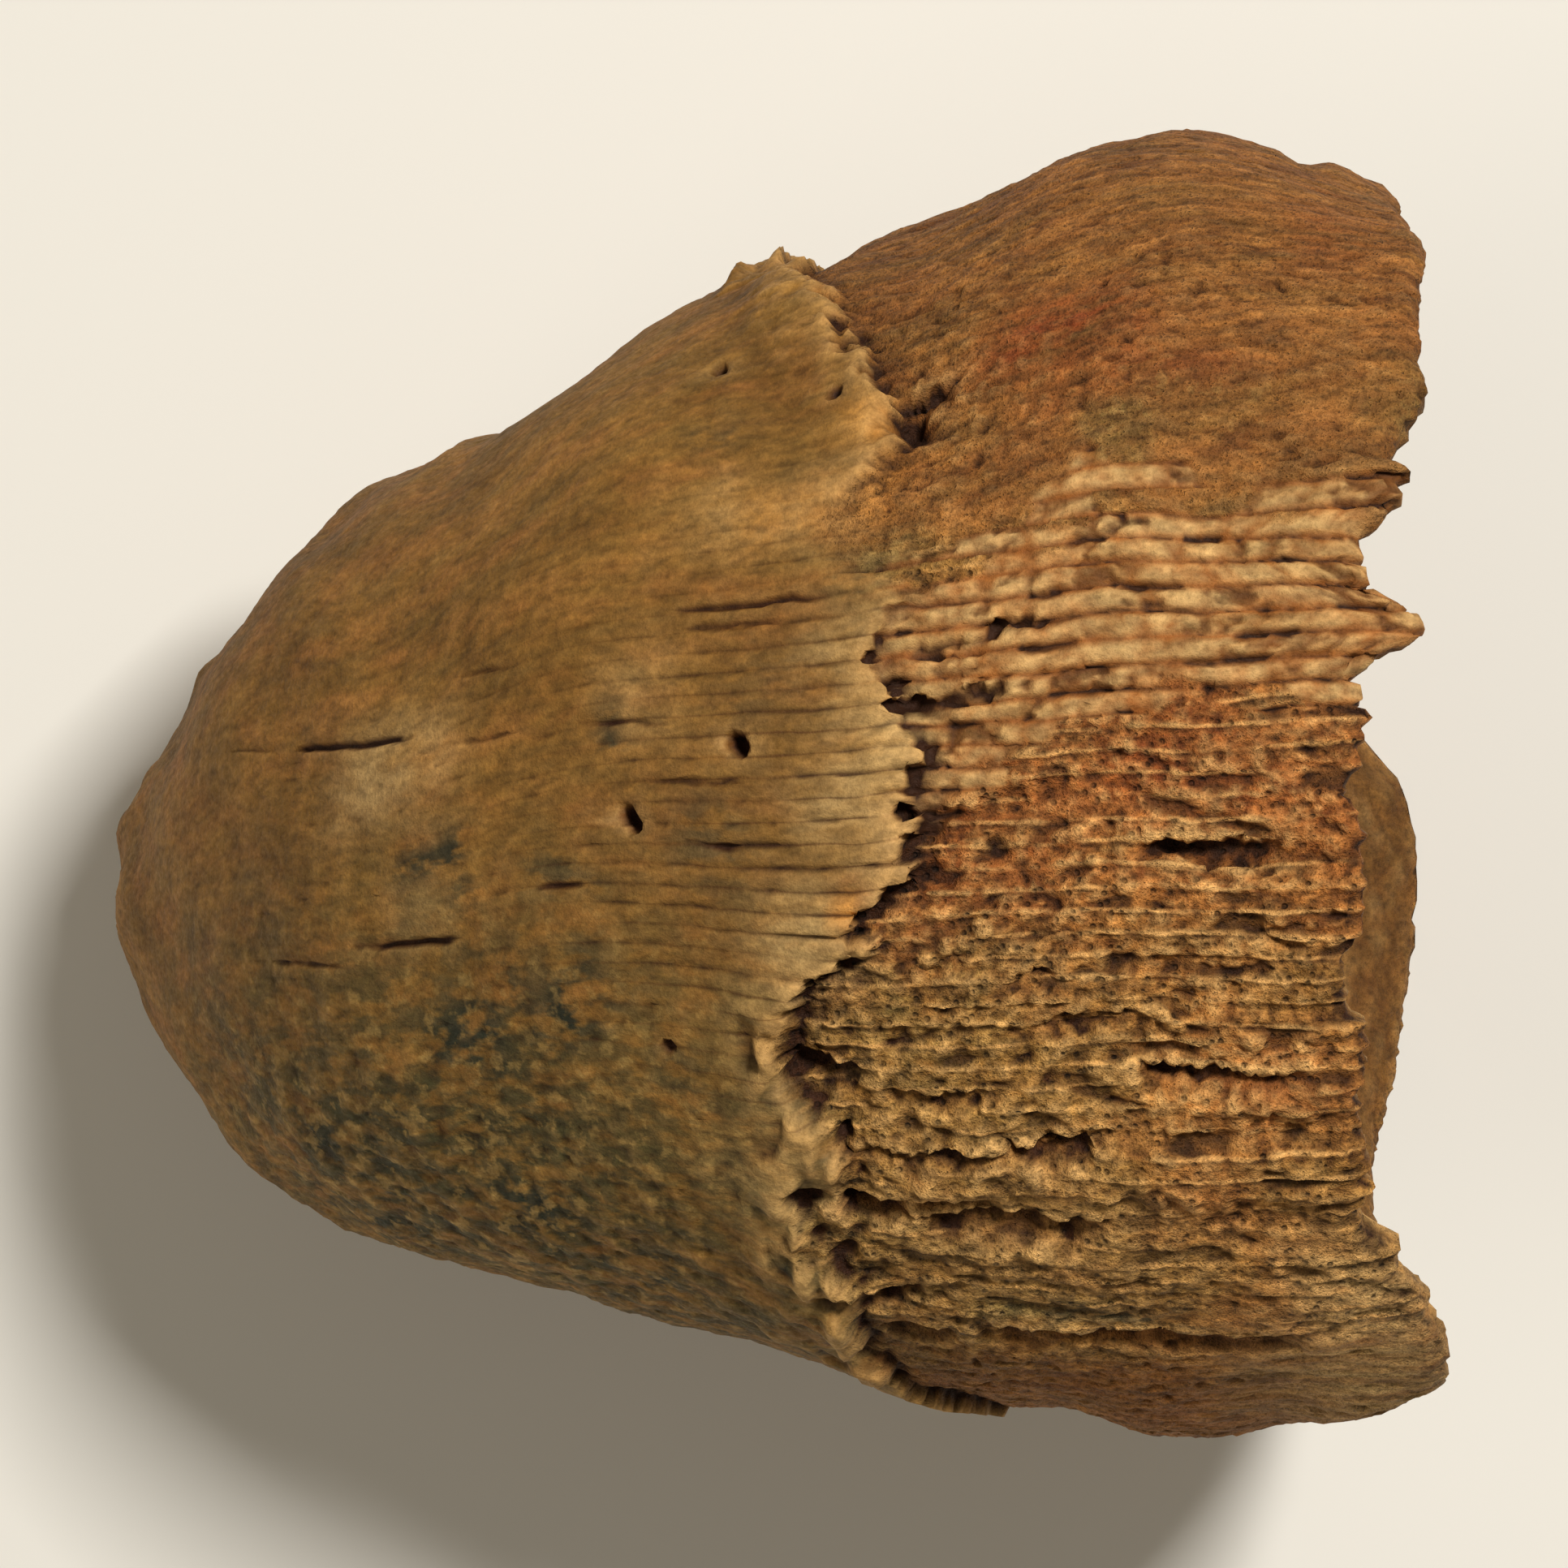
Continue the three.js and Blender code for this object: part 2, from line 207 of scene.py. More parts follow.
# angle, stage where the outer layer ends, height of its lip, depth of the bare septa beyond it
LEDGE = np.array([
    (8, 0.704, 0.8, 0), (23, 0.728, 0.7, 0.1), (41, 0.765, 0.5, 0.4), (54, 0.792, 0.4, 0.5), (61, 0.76, 0, 0.2),
    (71, 0.8, 0, 0.3), (76, 0.784, 0, 0.4), (85, 0.81, 0.1, 0.7), (96, 0.8, 0.1, 1.0), (104, 0.777, 0.1, 0.8),
    (110, 0.745, 0.2, 0.9), (126, 0.762, 0.3, 0.8), (140, 0.745, 0.4, 0.7), (146, 0.761, 0.5, 0.7),
    (160, 0.752, 0.3, 0.6), (172, 0.785, 0.3, 0.4), (180, 0.805, 0.3, 0.2), (205, 0.78, 0.5, 0.2),
    (232, 0.8, 0.3, 0.2), (262, 0.83, 0.2, 0), (284, 0.79, 0.3, 0.1), (318, 0.745, 0.5, 0.3), (342, 0.69, 0.7, 0),
])
LIP_LENGTH = 0.045  # stages over which the lip rises
# angle, how far the rim stands out past the last stage
RIM = np.array([
    (0, 0.5), (15, 1.1), (30, 1.9), (40, 2.1), (47, 2.1), (50, 2.4), (53, 1.8), (58.3, 1.0), (59.4, 1.9), (60.4, 0.9),
    (62, 1.2), (65, 0.5), (67, 0), (69, 0), (78, -0.1), (84, 0), (95, 0.1), (125, 0), (128, -0.4), (133, 0),
    (138, 1.0), (147, 2.1), (155, 2.9), (162, 2.7), (170, 1.7), (178, 1.1), (195, 0.6), (230, -0.45), (250, 0.6),
    (264, 1.3), (271, 0.9), (277, -1.1), (282, -1.5), (296, -1.4), (325, 0),
])
LONG_TOOTH = {"angle": 74, "wide": 4.8, "long": 2.0}  # septa that broke off longer than the rest
# angle, degrees wide, from stage, to stage, depth
HOLLOWS = [
    (93, 3.5, 0.81, 0.87, 0.25), (95.8, 1.2, 0.905, 0.96, 0.7), (117.2, 1.6, 0.905, 0.97, 0.8),
    (124.6, 1.6, 0.84, 0.875, 1.1), (125.4, 1.1, 0.77, 0.85, 0.5), (134, 2, 0.8, 0.88, 0.7),
    (150, 2.2, 0.82, 0.95, 0.7), (152, 2, 0.775, 0.8, 0.6), (52, 2.6, 0.784, 0.806, 1.0),
    (49.5, 1.6, 0.79, 0.815, 0.8), (75.8, 0.8, 0.8, 0.86, 0.4), (80.9, 0.8, 0.8, 0.84, 0.4),
    (132, 1.8, 0.762, 0.79, 1.0), (131.5, 1.5, 0.795, 0.83, 0.5), (116.5, 1.4, 0.752, 0.77, 0.6),
    (145, 1.8, 0.752, 0.785, 0.8), (108, 1.3, 0.84, 0.87, 0.3), (112, 1.2, 0.86, 0.91, 0.4),
    (105.5, 1.2, 0.8, 0.83, 0.3), (119, 1.2, 0.79, 0.83, 0.3), (201, 2, 0.82, 0.93, 0.9), (222, 1.8, 0.86, 0.95, 0.8),
    (309, 1.8, 0.8, 0.88, 0.8), (336, 2, 0.85, 0.95, 0.8),
]
# angle, degrees wide, stage, stages long, height
SWELLINGS = [
    (5, 25, 0.715, 0.035, -0.6), (5, 20, 0.99, 0.045, -0.4), (4, 16, 0.958, 0.014, -0.4), (6, 20, 0.915, 0.045, 0.28),
    (180, 20, 0.845, 0.04, -0.45), (186, 18, 0.59, 0.025, -0.7), (186, 14, 0.63, 0.02, 0.45),
    (50, 18, 0.27, 0.035, -0.5), (66, 16, 0.25, 0.05, 0.3), (8, 22, 0.42, 0.035, 0.4), (120, 40, 0.5, 0.1, 0.3),
    (60, 30, 0.4, 0.08, 0.25), (240, 35, 0.45, 0.08, 0.3), (18, 26, 0.45, 0.035, -0.5), (16, 22, 0.52, 0.035, 0.45),
    (57, 6, 0.28, 0.015, 0.25), (33, 14, 0.3, 0.03, 0.5), (8, 20, 0.37, 0.03, -0.3), (8, 22, 0.46, 0.035, 0.35),
    (47, 4, 0.27, 0.008, -0.45), (80, 12, 0.25, 0.03, -0.3), (9, 6, 0.704, 0.008, 0.6), (10, 5, 0.682, 0.006, 0.4),
    (9, 6, 0.692, 0.005, -0.25), (14, 22, 0.44, 0.04, 0.35), (183, 10, 0.6, 0.02, -0.4), (180, 30, 0.9, 0.07, 0.55),
    (168, 14, 0.97, 0.03, 0.6), (10, 20, 0.83, 0.05, 0.2), (8, 14, 0.97, 0.03, 0.35), (195, 8, 0.64, 0.015, 0.3),
]
print(SEPTA, "septa,", len(HOLLOWS), "hollows and", len(SWELLINGS), "swellings")


# %% Shapes of one variable
def smooth(value, start, end):
    """0 before the start, 1 after the end, and an S-shaped rise between."""
    t = np.clip((value - start) / (end - start), 0, 1)
    return t * t * (3 - 2 * t)


def hump(distance, width):
    """A soft hump: 1 in the middle, and 0 from one width away."""
    return (1 - np.clip(np.abs(distance) / width, 0, 1) ** 2) ** 2


def turn(angle, start):
    """The shorter way round from one angle to another, in degrees."""
    return (angle - start + 180) % 360 - 180


def around(rows, column, angle):
    """A value listed at a few angles, with straight lines between them."""
    return np.interp(angle, rows[:, 0], rows[:, column], period=360)


def span(field):
    """The lowest and the highest value, as text."""
    return f"from {field.min():.2f} to {field.max():.2f}"


print("half a width from its middle, a hump has", hump(0.5, 1.0), "of its height")


# %% [markdown]
# ## A fine net over the horn
#
# Fine relief needs many points. The net below has ten points for each septum, and its rows run from the tip
# along the wall to the rim, over the rim's crest and down the cup to its floor. Since every point knows its
# angle, its stage and its length along the horn, all relief can be worked out for the whole net at once with
# arrays. Later the net is thinned, so that flat places give up the points that they don't need.

# %% Rows and columns of the net
PER_SEPTUM = 10  # columns
ROW_STEP = 1  # 2 leaves every second row out
COLUMNS = SEPTA * PER_SEPTUM
# stage and share of the way from the middle out: over the rim's crest and down the cup
CUP_PATH = np.array([
    (0.993, 1), (1.0, 0.985), (1.0, 0.95), (0.993, 0.93), (0.965, 0.87), (0.93, 0.79), (0.89, 0.69), (0.85, 0.58),
    (0.815, 0.45), (0.795, 0.31), (0.79, 0.17), (0.8, 0.02),
])
wall_stages = np.concatenate([np.linspace(0.012, 0.6, 150, endpoint=False), np.linspace(0.6, 0.992, 255)])
along_cup = np.concatenate([np.linspace(0, 3, 14, endpoint=False), np.linspace(3, 11, 150)])
cup_stages = np.interp(along_cup, range(12), CUP_PATH[:, 0])
cup_shares = np.interp(along_cup, range(12), CUP_PATH[:, 1])
stage = np.concatenate([wall_stages, cup_stages])[::ROW_STEP, None]
share = np.concatenate([np.ones(len(wall_stages)), cup_shares])[::ROW_STEP, None]
angle = (np.arange(COLUMNS) * 360 / COLUMNS)[None, :]
in_cup = smooth(share, 0.99, 0.93)  # 0 on the outer wall and 1 inside the rim
wall_rows = len(wall_stages) // ROW_STEP

base = on_horn(angle, stage, share)
steps = np.linalg.norm(np.diff(base[:, COLUMNS // 4], axis=0), axis=1)
along = np.concatenate([[0], np.cumsum(steps)])[:, None]  # millimetres from the tip, over the back
septum = angle * SEPTA / 360 + 0 * stage
tall, wide = np.moveaxis(growth_line(stage), -1, 0)[4:]
pitch = 2 * np.pi * share * np.sqrt(tall * wide) / SEPTA  # millimetres from septum to septum
print("net of", base.shape[:2], "points,", round(float(along.max()), 1), "mm from tip to cup floor")


# %% [markdown]
# ## Noise that closes on itself
#
# Weathered stone is never regular. The noise below is the usual gradient noise: each corner of a grid of cells
# gets a random slope, and the slopes are blended. Across the septa its cells are counted in septa, so that the
# pattern meets itself again after one turn round the horn, and along the horn they are in millimetres.

# %% Noise
def noise(x, y, period, seed):
    """Smooth noise from about -1 to 1, with cells one unit wide, that repeats after so many cells in x."""
    draw = np.random.default_rng(seed)
    order, tilt = draw.permutation(1024), draw.uniform(0, 2 * np.pi, 1024)
    slope_x, slope_y = np.cos(tilt), np.sin(tilt)
    x, y = np.broadcast_arrays(x, y)
    cell_x, cell_y = np.floor(x).astype(np.int32), np.floor(y).astype(np.int32)
    x, y = x - cell_x, y - cell_y
    total = 0
    for dx, dy in itertools.product((0, 1), (0, 1)):
        corner = order[(order[(cell_x + dx) % period % 1024] + cell_y + dy) % 1024]
        near = smooth(x, 1 - dx, dx) * smooth(y, 1 - dy, dy)
        total = total + near * (slope_x[corner] * (x - dx) + slope_y[corner] * (y - dy))
    return 1.5 * total


def fleck(across, long, seed, octaves=1):
    """Noise over the net in cells so many septa across and millimetres long, with finer octaves on request."""
    total = 0
    for k in range(octaves):
        period = round(SEPTA / across * 2 ** k)
        total = total + noise(septum * period / SEPTA, along / long * 2 ** k, period, seed + k) / 2 ** k
    return total


def lane(number, long, seed):
    """Noise that runs along each numbered septum or gap on its own."""
    return noise(3 * number + 0.5, along / long, 3 * SEPTA, seed)


print("noise runs", span(fleck(3, 3, 0)))

# %% [markdown]
# ## Where the septa run
#
# Grown septa are nearly parallel, but none is straight: they arch over the back, slant on one flank and waver by a
# part of their spacing. Shifting the count of septa by a little noise bends them all at once, and everything that
# is later drawn on a septum or in a gap follows the same bends.

# %% Septa across the net
BACK = 95  # the angle of the middle of the back
arch = np.interp(stage, [0.8, 0.86, 0.93, 1], [0, 1.8, 1.2, -1.4]) * hump(turn(angle, 78), 40)
slant = -9 * smooth(stage, 0.84, 1.02) * hump(turn(angle, 42), 26)
waver = 0.22 * fleck(6, 12, 11) + 0.07 * fleck(1.5, 2, 12) + 0.06 * fleck(0.9, 0.8, 13)
crooked = septum - (arch + slant) * SEPTA / 360 + waver
number = np.round(crooked)  # the nearest septum
gap = np.floor(crooked)  # the gap that a point lies in, when it isn't on a septum
off = crooked - number  # distance from the septum's middle, in septa
print("septa waver", span(waver), "of their spacing")

# %% [markdown]
# ## The ledge
#
# The outer layer doesn't end in a clean line: each septum carries its own bit of the layer a little further or less
# far. So the place of the ledge is shifted by noise that follows the septa. It is a sharp step on the back, fades
# out softly in one place, and is a slope of crumbs or a row of broken blocks on the flanks.

# %% The ledge
fades = hump(turn(angle, 65), 9)  # between two planes of the back the ledge fades out softly
crumbly = hump(turn(angle, 35), 35)  # on the flank it is a slope of crumbs
broken = smooth(angle, 106, 114) * smooth(angle, 172, 156)  # on the other flank it has come off in blocks
step_length = 0.003 + 0.03 * fades + 0.012 * crumbly + 0.012 * broken
fingers = 0.007 * hump(turn(angle, BACK), 16)
torn = 0.005 * fleck(3, 2, 21, 2) + (0.004 + fingers) * (1 - broken) * lane(number, 9, 23)
torn = torn + 0.003 * (1 - broken) * fleck(0.6, 0.5, 24, 2) + 0.014 * broken * fleck(4, 2.4, 22, 2)
torn = torn + 0.007 * crumbly * fleck(2.2, 1.5, 25, 3)
ledge = around(LEDGE, 1, angle) + torn
bare = smooth(stage, ledge - step_length / 2, ledge + step_length / 2)  # 1 where the septa are bare
lip = around(LEDGE, 2, angle) * smooth(stage, ledge - LIP_LENGTH, ledge)
layers = lip * (1 - bare) - around(LEDGE, 3, angle) * bare
beside_ledge = hump(stage - ledge, 0.018) * crumbly
layers = layers + 0.22 * beside_ledge * fleck(1.1, 0.7, 27, 3)
blocks = smooth(fleck(3, 1.6, 28, 2), -0.25, 0.15)  # what is left of the layer there
block_zone = broken * hump(stage - ledge + 0.004, 0.034)
layers = layers + block_zone * (0.42 * blocks - 0.3 + 0.12 * fleck(1.2, 0.7, 29, 3))
print("ledge at stages", span(ledge))

# %% [markdown]
# ## Swellings, ridges and hollows
#
# The horn grew in spurts, which left swellings, and it was knocked and gnawed later. Each bump is a soft hump at a
# listed place. The ridges and hollows follow the septa: a hollow has a steep upper side and a gentle lower one,
# because the firm septum above it overhangs what has weathered out. Their outlines are shifted by noise.

# %% Swellings and ridges
# long ridges and shelves of firmer stone: angle, degrees to each side, from stage, to stage, height
RIDGES = [
    (126.5, 4, 0.79, 0.99, 0.4), (99, 6, 0.83, 0.9, 0.15), (100, 3.5, 0.93, 1.0, 0.3), (118.5, 3, 0.94, 1.0, 0.35),
    (111.8, 1.5, 0.9, 1.0, 0.2), (137, 5, 0.8, 0.9, 0.15), (150, 3, 0.83, 0.96, 0.2), (108.5, 1.2, 0.82, 0.9, 0.15),
]
RIDGE_END = 0.02  # stages over which a ridge rises at its ends
radian = np.radians(angle)
lumps = np.sin(9 * radian + 3 * np.sin(7 * stage)) * np.sin(14 * np.pi * stage + 2 * np.cos(2 * radian))
swells = 0.16 * lumps * smooth(stage, 0.05, 0.3)
for place, breadth, middle, length, height in SWELLINGS:
    swells = swells + height * hump(turn(angle, place), breadth) * hump(stage - middle, length)
wander = angle + 0.8 * fleck(3, 1.3, 31, 3)
drift = stage + 0.006 * fleck(2, 1.5, 34, 2)


def stretch(start, end, fade):
    """1 between two stages, with soft and slightly wandering ends."""
    return smooth(drift, start - fade, start + fade) * smooth(drift, end + fade, end - fade)


for place, breadth, start, end, height in RIDGES:
    across = smooth(np.abs(turn(wander, place)), breadth, 0.4 * breadth)
    swells = swells + height * stretch(start, end, RIDGE_END) * across * bare
print(len(RIDGES), "ridges, and swellings", span(swells), "mm")

# %% Hollows
HOLLOW_END = 0.008
hollow = 0 * septum
for place, breadth, start, end, depth in HOLLOWS:
    upward = turn(place, wander) / breadth  # -1 and 1 at the hollow's lower and upper sides
    across = smooth(upward, 1, 0.55) * smooth(upward, -1.5, 0.3)
    hollow = np.maximum(hollow, depth * stretch(start, end, HOLLOW_END) * across)
hollow = hollow * (1 - in_cup) * (1 + 0.25 * fleck(1.2, 1, 30, 2))
print("hollows", span(hollow), "mm deep")

# %% [markdown]
# ## The body
#
# All the large relief is pushed out along the line from the middle of the horn, like the growth itself. The rim is
# then drawn out along the horn by its own list, and the septa that broke off longer than the rest form one tooth.

# %% The body of the horn
near_rim = smooth(share, 0.6, 0.9)
relief = (swells + layers) * near_rim - hollow
middle_line = on_horn(angle, stage, 0)
arm = base - middle_line
arm_length = np.linalg.norm(arm, axis=-1, keepdims=True)
body = base + arm / np.maximum(arm_length, 0.5) * relief[..., None]
worn_back = 0.15 * hump(turn(angle, BACK), 35) + 0.25 * fleck(4, 30, 26)  # the rim is worn unevenly
long_tooth = LONG_TOOTH["long"] * hump(turn(angle, LONG_TOOTH["angle"]), LONG_TOOTH["wide"])
reach = around(RIM, 1, angle) + 0.3 - worn_back + long_tooth
body[..., 0] += reach * smooth(stage, 0.9, 1) * near_rim
print("the rim stands", span(reach), "mm past the last growth line")

# %% [markdown]
# ## Fine relief
#
# The bare septa are worn in three ways. Near the middle of the back they are broad cream planks with narrow dark
# gaps. Below them the tissue between the septa has weathered to a rusty sponge, and the septa stand as thin
# ragged blades. On the flanks they are nearly smooth, with fine lines. Each way is a height worked out for the
# whole net, and soft masks choose between them.

# %% Zones of the bare septa
cream_top = np.interp(stage, [0.79, 0.86, 0.92, 1], [69, 66, 63.5, 62])
cream_top = cream_top + fleck(3, 3, 36, 2) + 7 * lane(number, 2.4, 35)
cream_low = np.interp(stage, [0.79, 0.87, 0.9, 0.94, 1], [95, 87, 84, 81, 79])
cream_low = cream_low + 5 * lane(number, 3, 38) + fleck(0.8, 0.6, 33)
cream = bare * smooth(angle, cream_top - 0.9, cream_top + 0.9) * smooth(angle, cream_low + 0.6, cream_low - 0.6)
low_flank = 150 + 8 * fleck(8, 5, 39, 2)
sponge = bare * smooth(angle, 64, 68) * smooth(angle, low_flank + 8, low_flank - 6) * (1 - cream)
hidden = smooth(turn(angle, 270), -78, -66) * smooth(turn(angle, 270), 78, 66)  # round the belly
sponge = np.maximum(sponge, 0.75 * bare * hidden)
skin = bare * (1 - cream) * (1 - sponge)
for zone_name, zone in (("planks", cream), ("sponge", sponge), ("skin", skin)):
    print(zone_name, "on", f"{zone.mean():.0%}", "of the net")

# %% [markdown]
# The planks are whole septa, worn round. The gaps between them open and close along the horn, so their width is
# noise along each gap. Beads of lime sit on the planks, and stretches of some have lost their upper part.

# %% Cream planks
from_gap = 0.5 - np.abs(off)  # distance from the middle of the gap, in septa
opened = smooth(lane(gap, 1.5, 42) + 0.15 * fleck(0.5, 0.4, 49), 0.36, 0.52)  # stretches where the gap is wide
gap_width = 0.06 + 0.05 * lane(gap, 1.8, 43) + 0.1 * opened + 0.06 * fleck(0.4, 0.35, 47, 2)
plank = smooth(from_gap, 0.3 * gap_width, gap_width + 0.07)
gap_depth = np.clip(0.16 + 0.16 * lane(gap, 3, 50), 0.08, 0.4) + 0.18 * opened
lost = smooth(lane(number, 2.2, 44) + 0.4 * fleck(0.5, 0.5, 46, 2), 0.35, 0.6)
beads = 0.6 * lane(number, 0.7, 45) + 0.8 * fleck(0.7, 0.5, 51, 2)
planks = (0.11 * beads + 0.03 * fleck(0.3, 0.3, 48) - 0.2 * off ** 2) * plank - gap_depth * (1 - plank)
planks = planks + 0.12 * lane(number, 4, 41) + 0.05 * fleck(5, 4, 40) - 0.16 * lost
print("planks", span(planks), "mm")

# %% [markdown]
# In the sponge each septum is a thin edge over a pitted floor. The floor is noise of several sizes with pits cut
# in, and sinks deeper in stretches. The blades come and go along the horn, and lean a little to either side.

# %% Thin blades over a spongy floor
BLADE_HALF = 0.15  # half a blade's thickness, in septa
pits = smooth(fleck(0.5, 0.4, 64), 0.2, 0.6) + 0.7 * smooth(fleck(0.33, 0.25, 65), 0.25, 0.6)
sunk = smooth(0.6 * lane(gap, 3, 69) + 0.8 * fleck(1.2, 1.6, 70, 3), 0.12, 0.55)  # weathered out deeper
ragged = np.clip(0.7 + 0.8 * lane(number, 1.6, 52) + 0.5 * lane(number, 0.6, 53), 0, 1.5)
gone = smooth(lane(number, 3.5, 54), -0.05, 0.2)
wobble = off + 0.07 * fleck(1.5, 1.4, 56, 2)
blade = np.clip(1 - np.abs(wobble) / BLADE_HALF, 0, 1)
sponge_floor = 0.2 * fleck(4, 3.2, 67) + 0.14 * lane(gap, 5, 63) - 0.26 * sunk + 0.13 * fleck(1.1, 0.9, 61, 4)
sponge_floor = sponge_floor + 0.06 * fleck(0.35, 0.3, 57) - 0.1 * pits * (1 - sunk)
low_side = smooth(angle, 122, 134)  # weathered smoother there
sponge_floor = sponge_floor * (1 - 0.35 * low_side) + 0.07 * low_side * fleck(1.2, 0.7, 58, 3)
blades = sponge_floor + (0.17 + 0.18 * sunk) * ragged * blade * (1 - 0.85 * gone) * (1 - 0.65 * low_side)
print("blades and floor", span(blades), "mm")

# %% [markdown]
# The flanks were rubbed, so only hairlines are left between the septa. Low grain, specks and a few crumbs near the
# ledge keep them from looking polished.

# %% Nearly smooth skin on the flanks
grainy = smooth(angle, 20, 45) + smooth(angle, 150, 130) * smooth(angle, 90, 110) + 0.3
specks = smooth(fleck(0.6, 0.5, 74), 0.35, 0.6)
line = smooth(from_gap, 0.14, 0.02) * smooth(lane(gap, 1.2, 71), 0.1, 0.5)
skins = 0.012 * (1 - (2 * off) ** 2) - 0.06 * line + 0.06 * fleck(1.6, 1.6, 72, 3) + 0.05 * fleck(0.45, 0.8, 75, 2)
skins = skins + (0.05 * fleck(0.4, 0.3, 73) - 0.12 * specks * smooth(fleck(4, 4, 76), -0.3, 0.2)) * grainy
crumbs = smooth(fleck(0.9, 0.6, 78, 2), 0, 0.45) * hump(turn(angle, 52), 14) * smooth(stage, 0.9, 0.82)
skins = skins + 0.12 * fleck(9, 5, 77, 2) + 0.13 * crumbs
print("skin", span(skins), "mm")

# %% [markdown]
# Small animals bored holes into the shell, and slots broke out of it along the septa. There are only a few, each
# with a place of its own, so they are listed one by one instead of being scattered by noise.

# %% Slots and holes
# angles at both ends, degrees to each side, from stage, to stage, depth
SLOTS = [
    (74, 75.5, 0.55, 0.49, 0.57, 0.28), (101.9, 102.1, 0.5, 0.546, 0.593, 0.3), (69.8, 71.4, 0.4, 0.597, 0.623, 0.15),
    (78.4, 79.2, 0.35, 0.6, 0.63, 0.15), (69, 69.3, 0.35, 0.702, 0.762, 0.22), (71, 71.5, 0.3, 0.71, 0.75, 0.18),
    (97.4, 97.6, 0.4, 0.64, 0.66, 0.25), (87, 87, 0.3, 0.7, 0.73, 0.15), (93, 94, 0.5, 0.715, 0.735, 0.25),
    (73, 74, 0.3, 0.44, 0.47, 0.12), (104, 104, 0.35, 0.48, 0.53, 0.15), (80, 81, 0.3, 0.66, 0.7, 0.12),
]
# angle, stage, radius in millimetres, depth
HOLES = [
    (83.4, 0.731, 0.36, 0.9), (90.4, 0.684, 0.3, 0.8), (91.6, 0.687, 0.24, 0.7), (39.4, 0.704, 0.28, 0.6),
    (114.5, 0.697, 0.24, 0.4), (165, 0.29, 0.6, 0.3), (90.5, 0.799, 0.25, 0.5), (47, 0.76, 0.25, 0.4),
]
marks = 0 * septum
thread = angle + 0.35 * fleck(1.5, 1.0, 31, 2)
for first_angle, last_angle, breadth, start, end, depth in SLOTS:
    length = stretch(start, end, HOLLOW_END)
    place = np.interp(stage, [start, end], [first_angle, last_angle])
    narrow = breadth * np.sqrt(length) + 0.01
    marks = np.maximum(marks, depth * length * smooth(np.abs(turn(thread, place)), 1.3 * narrow, 0.3 * narrow))
for place, middle, radius, depth in HOLES:
    sideways = np.radians(turn(angle, place)) * pitch * SEPTA / (2 * np.pi)
    lengthways = along - np.interp(middle, stage[:wall_rows, 0], along[:wall_rows, 0])
    away = np.hypot(sideways, lengthways) + 0.12 * fleck(0.8, 0.5, 32)
    marks = np.maximum(marks, depth * smooth(away, 1.25 * radius, 0.6 * radius))
marks = marks * (1 - in_cup)
print(len(SLOTS), "slots and", len(HOLES), "holes,", span(marks), "mm deep")

# %% [markdown]
# The outer layer is smooth, with faint rings of growth across it. Close to the ledge the septa already show
# through as fine grooves, and the lower side is rough and tufted. The rings are noise drawn out round the horn,
# because evenly spaced rings would look as if they were turned on a lathe.

# %% The outer layer
rings = noise(septum / 14, along / 0.9, 12, 85) + 0.6 * noise(septum / 7, along / 0.4, 24, 86)
grooved = smooth(stage, 0.55, 0.78) * hump(turn(angle, BACK), 56)
groove = smooth(from_gap, 0.16, 0.03) * (0.3 + 0.7 * smooth(lane(gap, 1.4, 83), -0.3, 0.4))
groove = groove * grooved * (1 - 0.7 * broken)
dashes = smooth(from_gap, 0.2, 0.05) * smooth(lane(gap, 0.9, 84), 0.3, 0.55)
dashes = dashes * smooth(stage, 0.4, 0.5) * hump(turn(angle, 92), 50)
rough = np.clip(1.3 * hump(turn(angle, 143), 58) * hump(stage - 0.58, 0.34), 0, 1)
tufts = fleck(1.6, 1.0, 87, 3)
ribbed = smooth(stage, ledge - 0.035, ledge - 0.01) * hump(turn(angle, BACK), 22)  # deeper near the ledge
outer = 0.04 * fleck(2, 1.5, 81, 3) + 0.03 * rings - (0.13 + 0.12 * ribbed) * groove - 0.07 * dashes - marks
outer = outer + 0.02 * fleck(0.5, 0.6, 79, 2) + 0.03 * (off * plank) * grooved
outer = outer + rough * (0.1 * tufts - 0.07 * smooth(fleck(0.8, 0.5, 90), 0.25, 0.6))
outer = outer * smooth(stage, 0.02, 0.2)
print("outer layer", span(outer), "mm")

# %% [markdown]
# In the cup the septa stand in from the wall as thin blades with toothed edges. Every second one is short. They
# carry on over the crest of the rim, where they end as small teeth of different lengths. They could be modelled one
# by one, but as relief on the same net they grow out of the wall without a seam.

# %% Septa of the cup
# share of the way from the middle out, how far a long blade stands in there, in millimetres
BLADE_STANDS = [(0.17, 0), (0.31, 0.4), (0.45, 0.7), (0.58, 0.9), (0.69, 1.0), (0.79, 0.9), (0.87, 0.6), (0.95, 0.15)]
BAR_SPACING = 0.9  # millimetres between the small bars that cross from blade to blade
stands = np.interp(share, *zip(*BLADE_STANDS)) * (1 - hidden * smooth(share, 0.72, 0.86))
short = number % 2
stands = stands * (1 - short * (0.45 + 0.55 * smooth(share, 0.72, 0.55)))
teeth_of_cup = 1 + 0.25 * lane(number, 0.7, 91) + 0.12 * lane(number, 0.3, 92)
thin_blade = smooth(np.abs(off) * pitch, 0.17, 0.05)
grit = 0.1 * fleck(2, 0.9, 93, 3) * smooth(share, 0.05, 0.3)
cup_bars = smooth(np.abs((along / BAR_SPACING + 2 * lane(gap, 4, 96)) % 1 - 0.5), 0.15, 0.05) * smooth(share, 0.5, 0.8)
cup = stands * teeth_of_cup * thin_blade - 0.2 + grit + 0.1 * cup_bars * (1 - hidden)
cup = cup * smooth(share, 0.04, 0.25)
print("cup", span(cup), "mm")

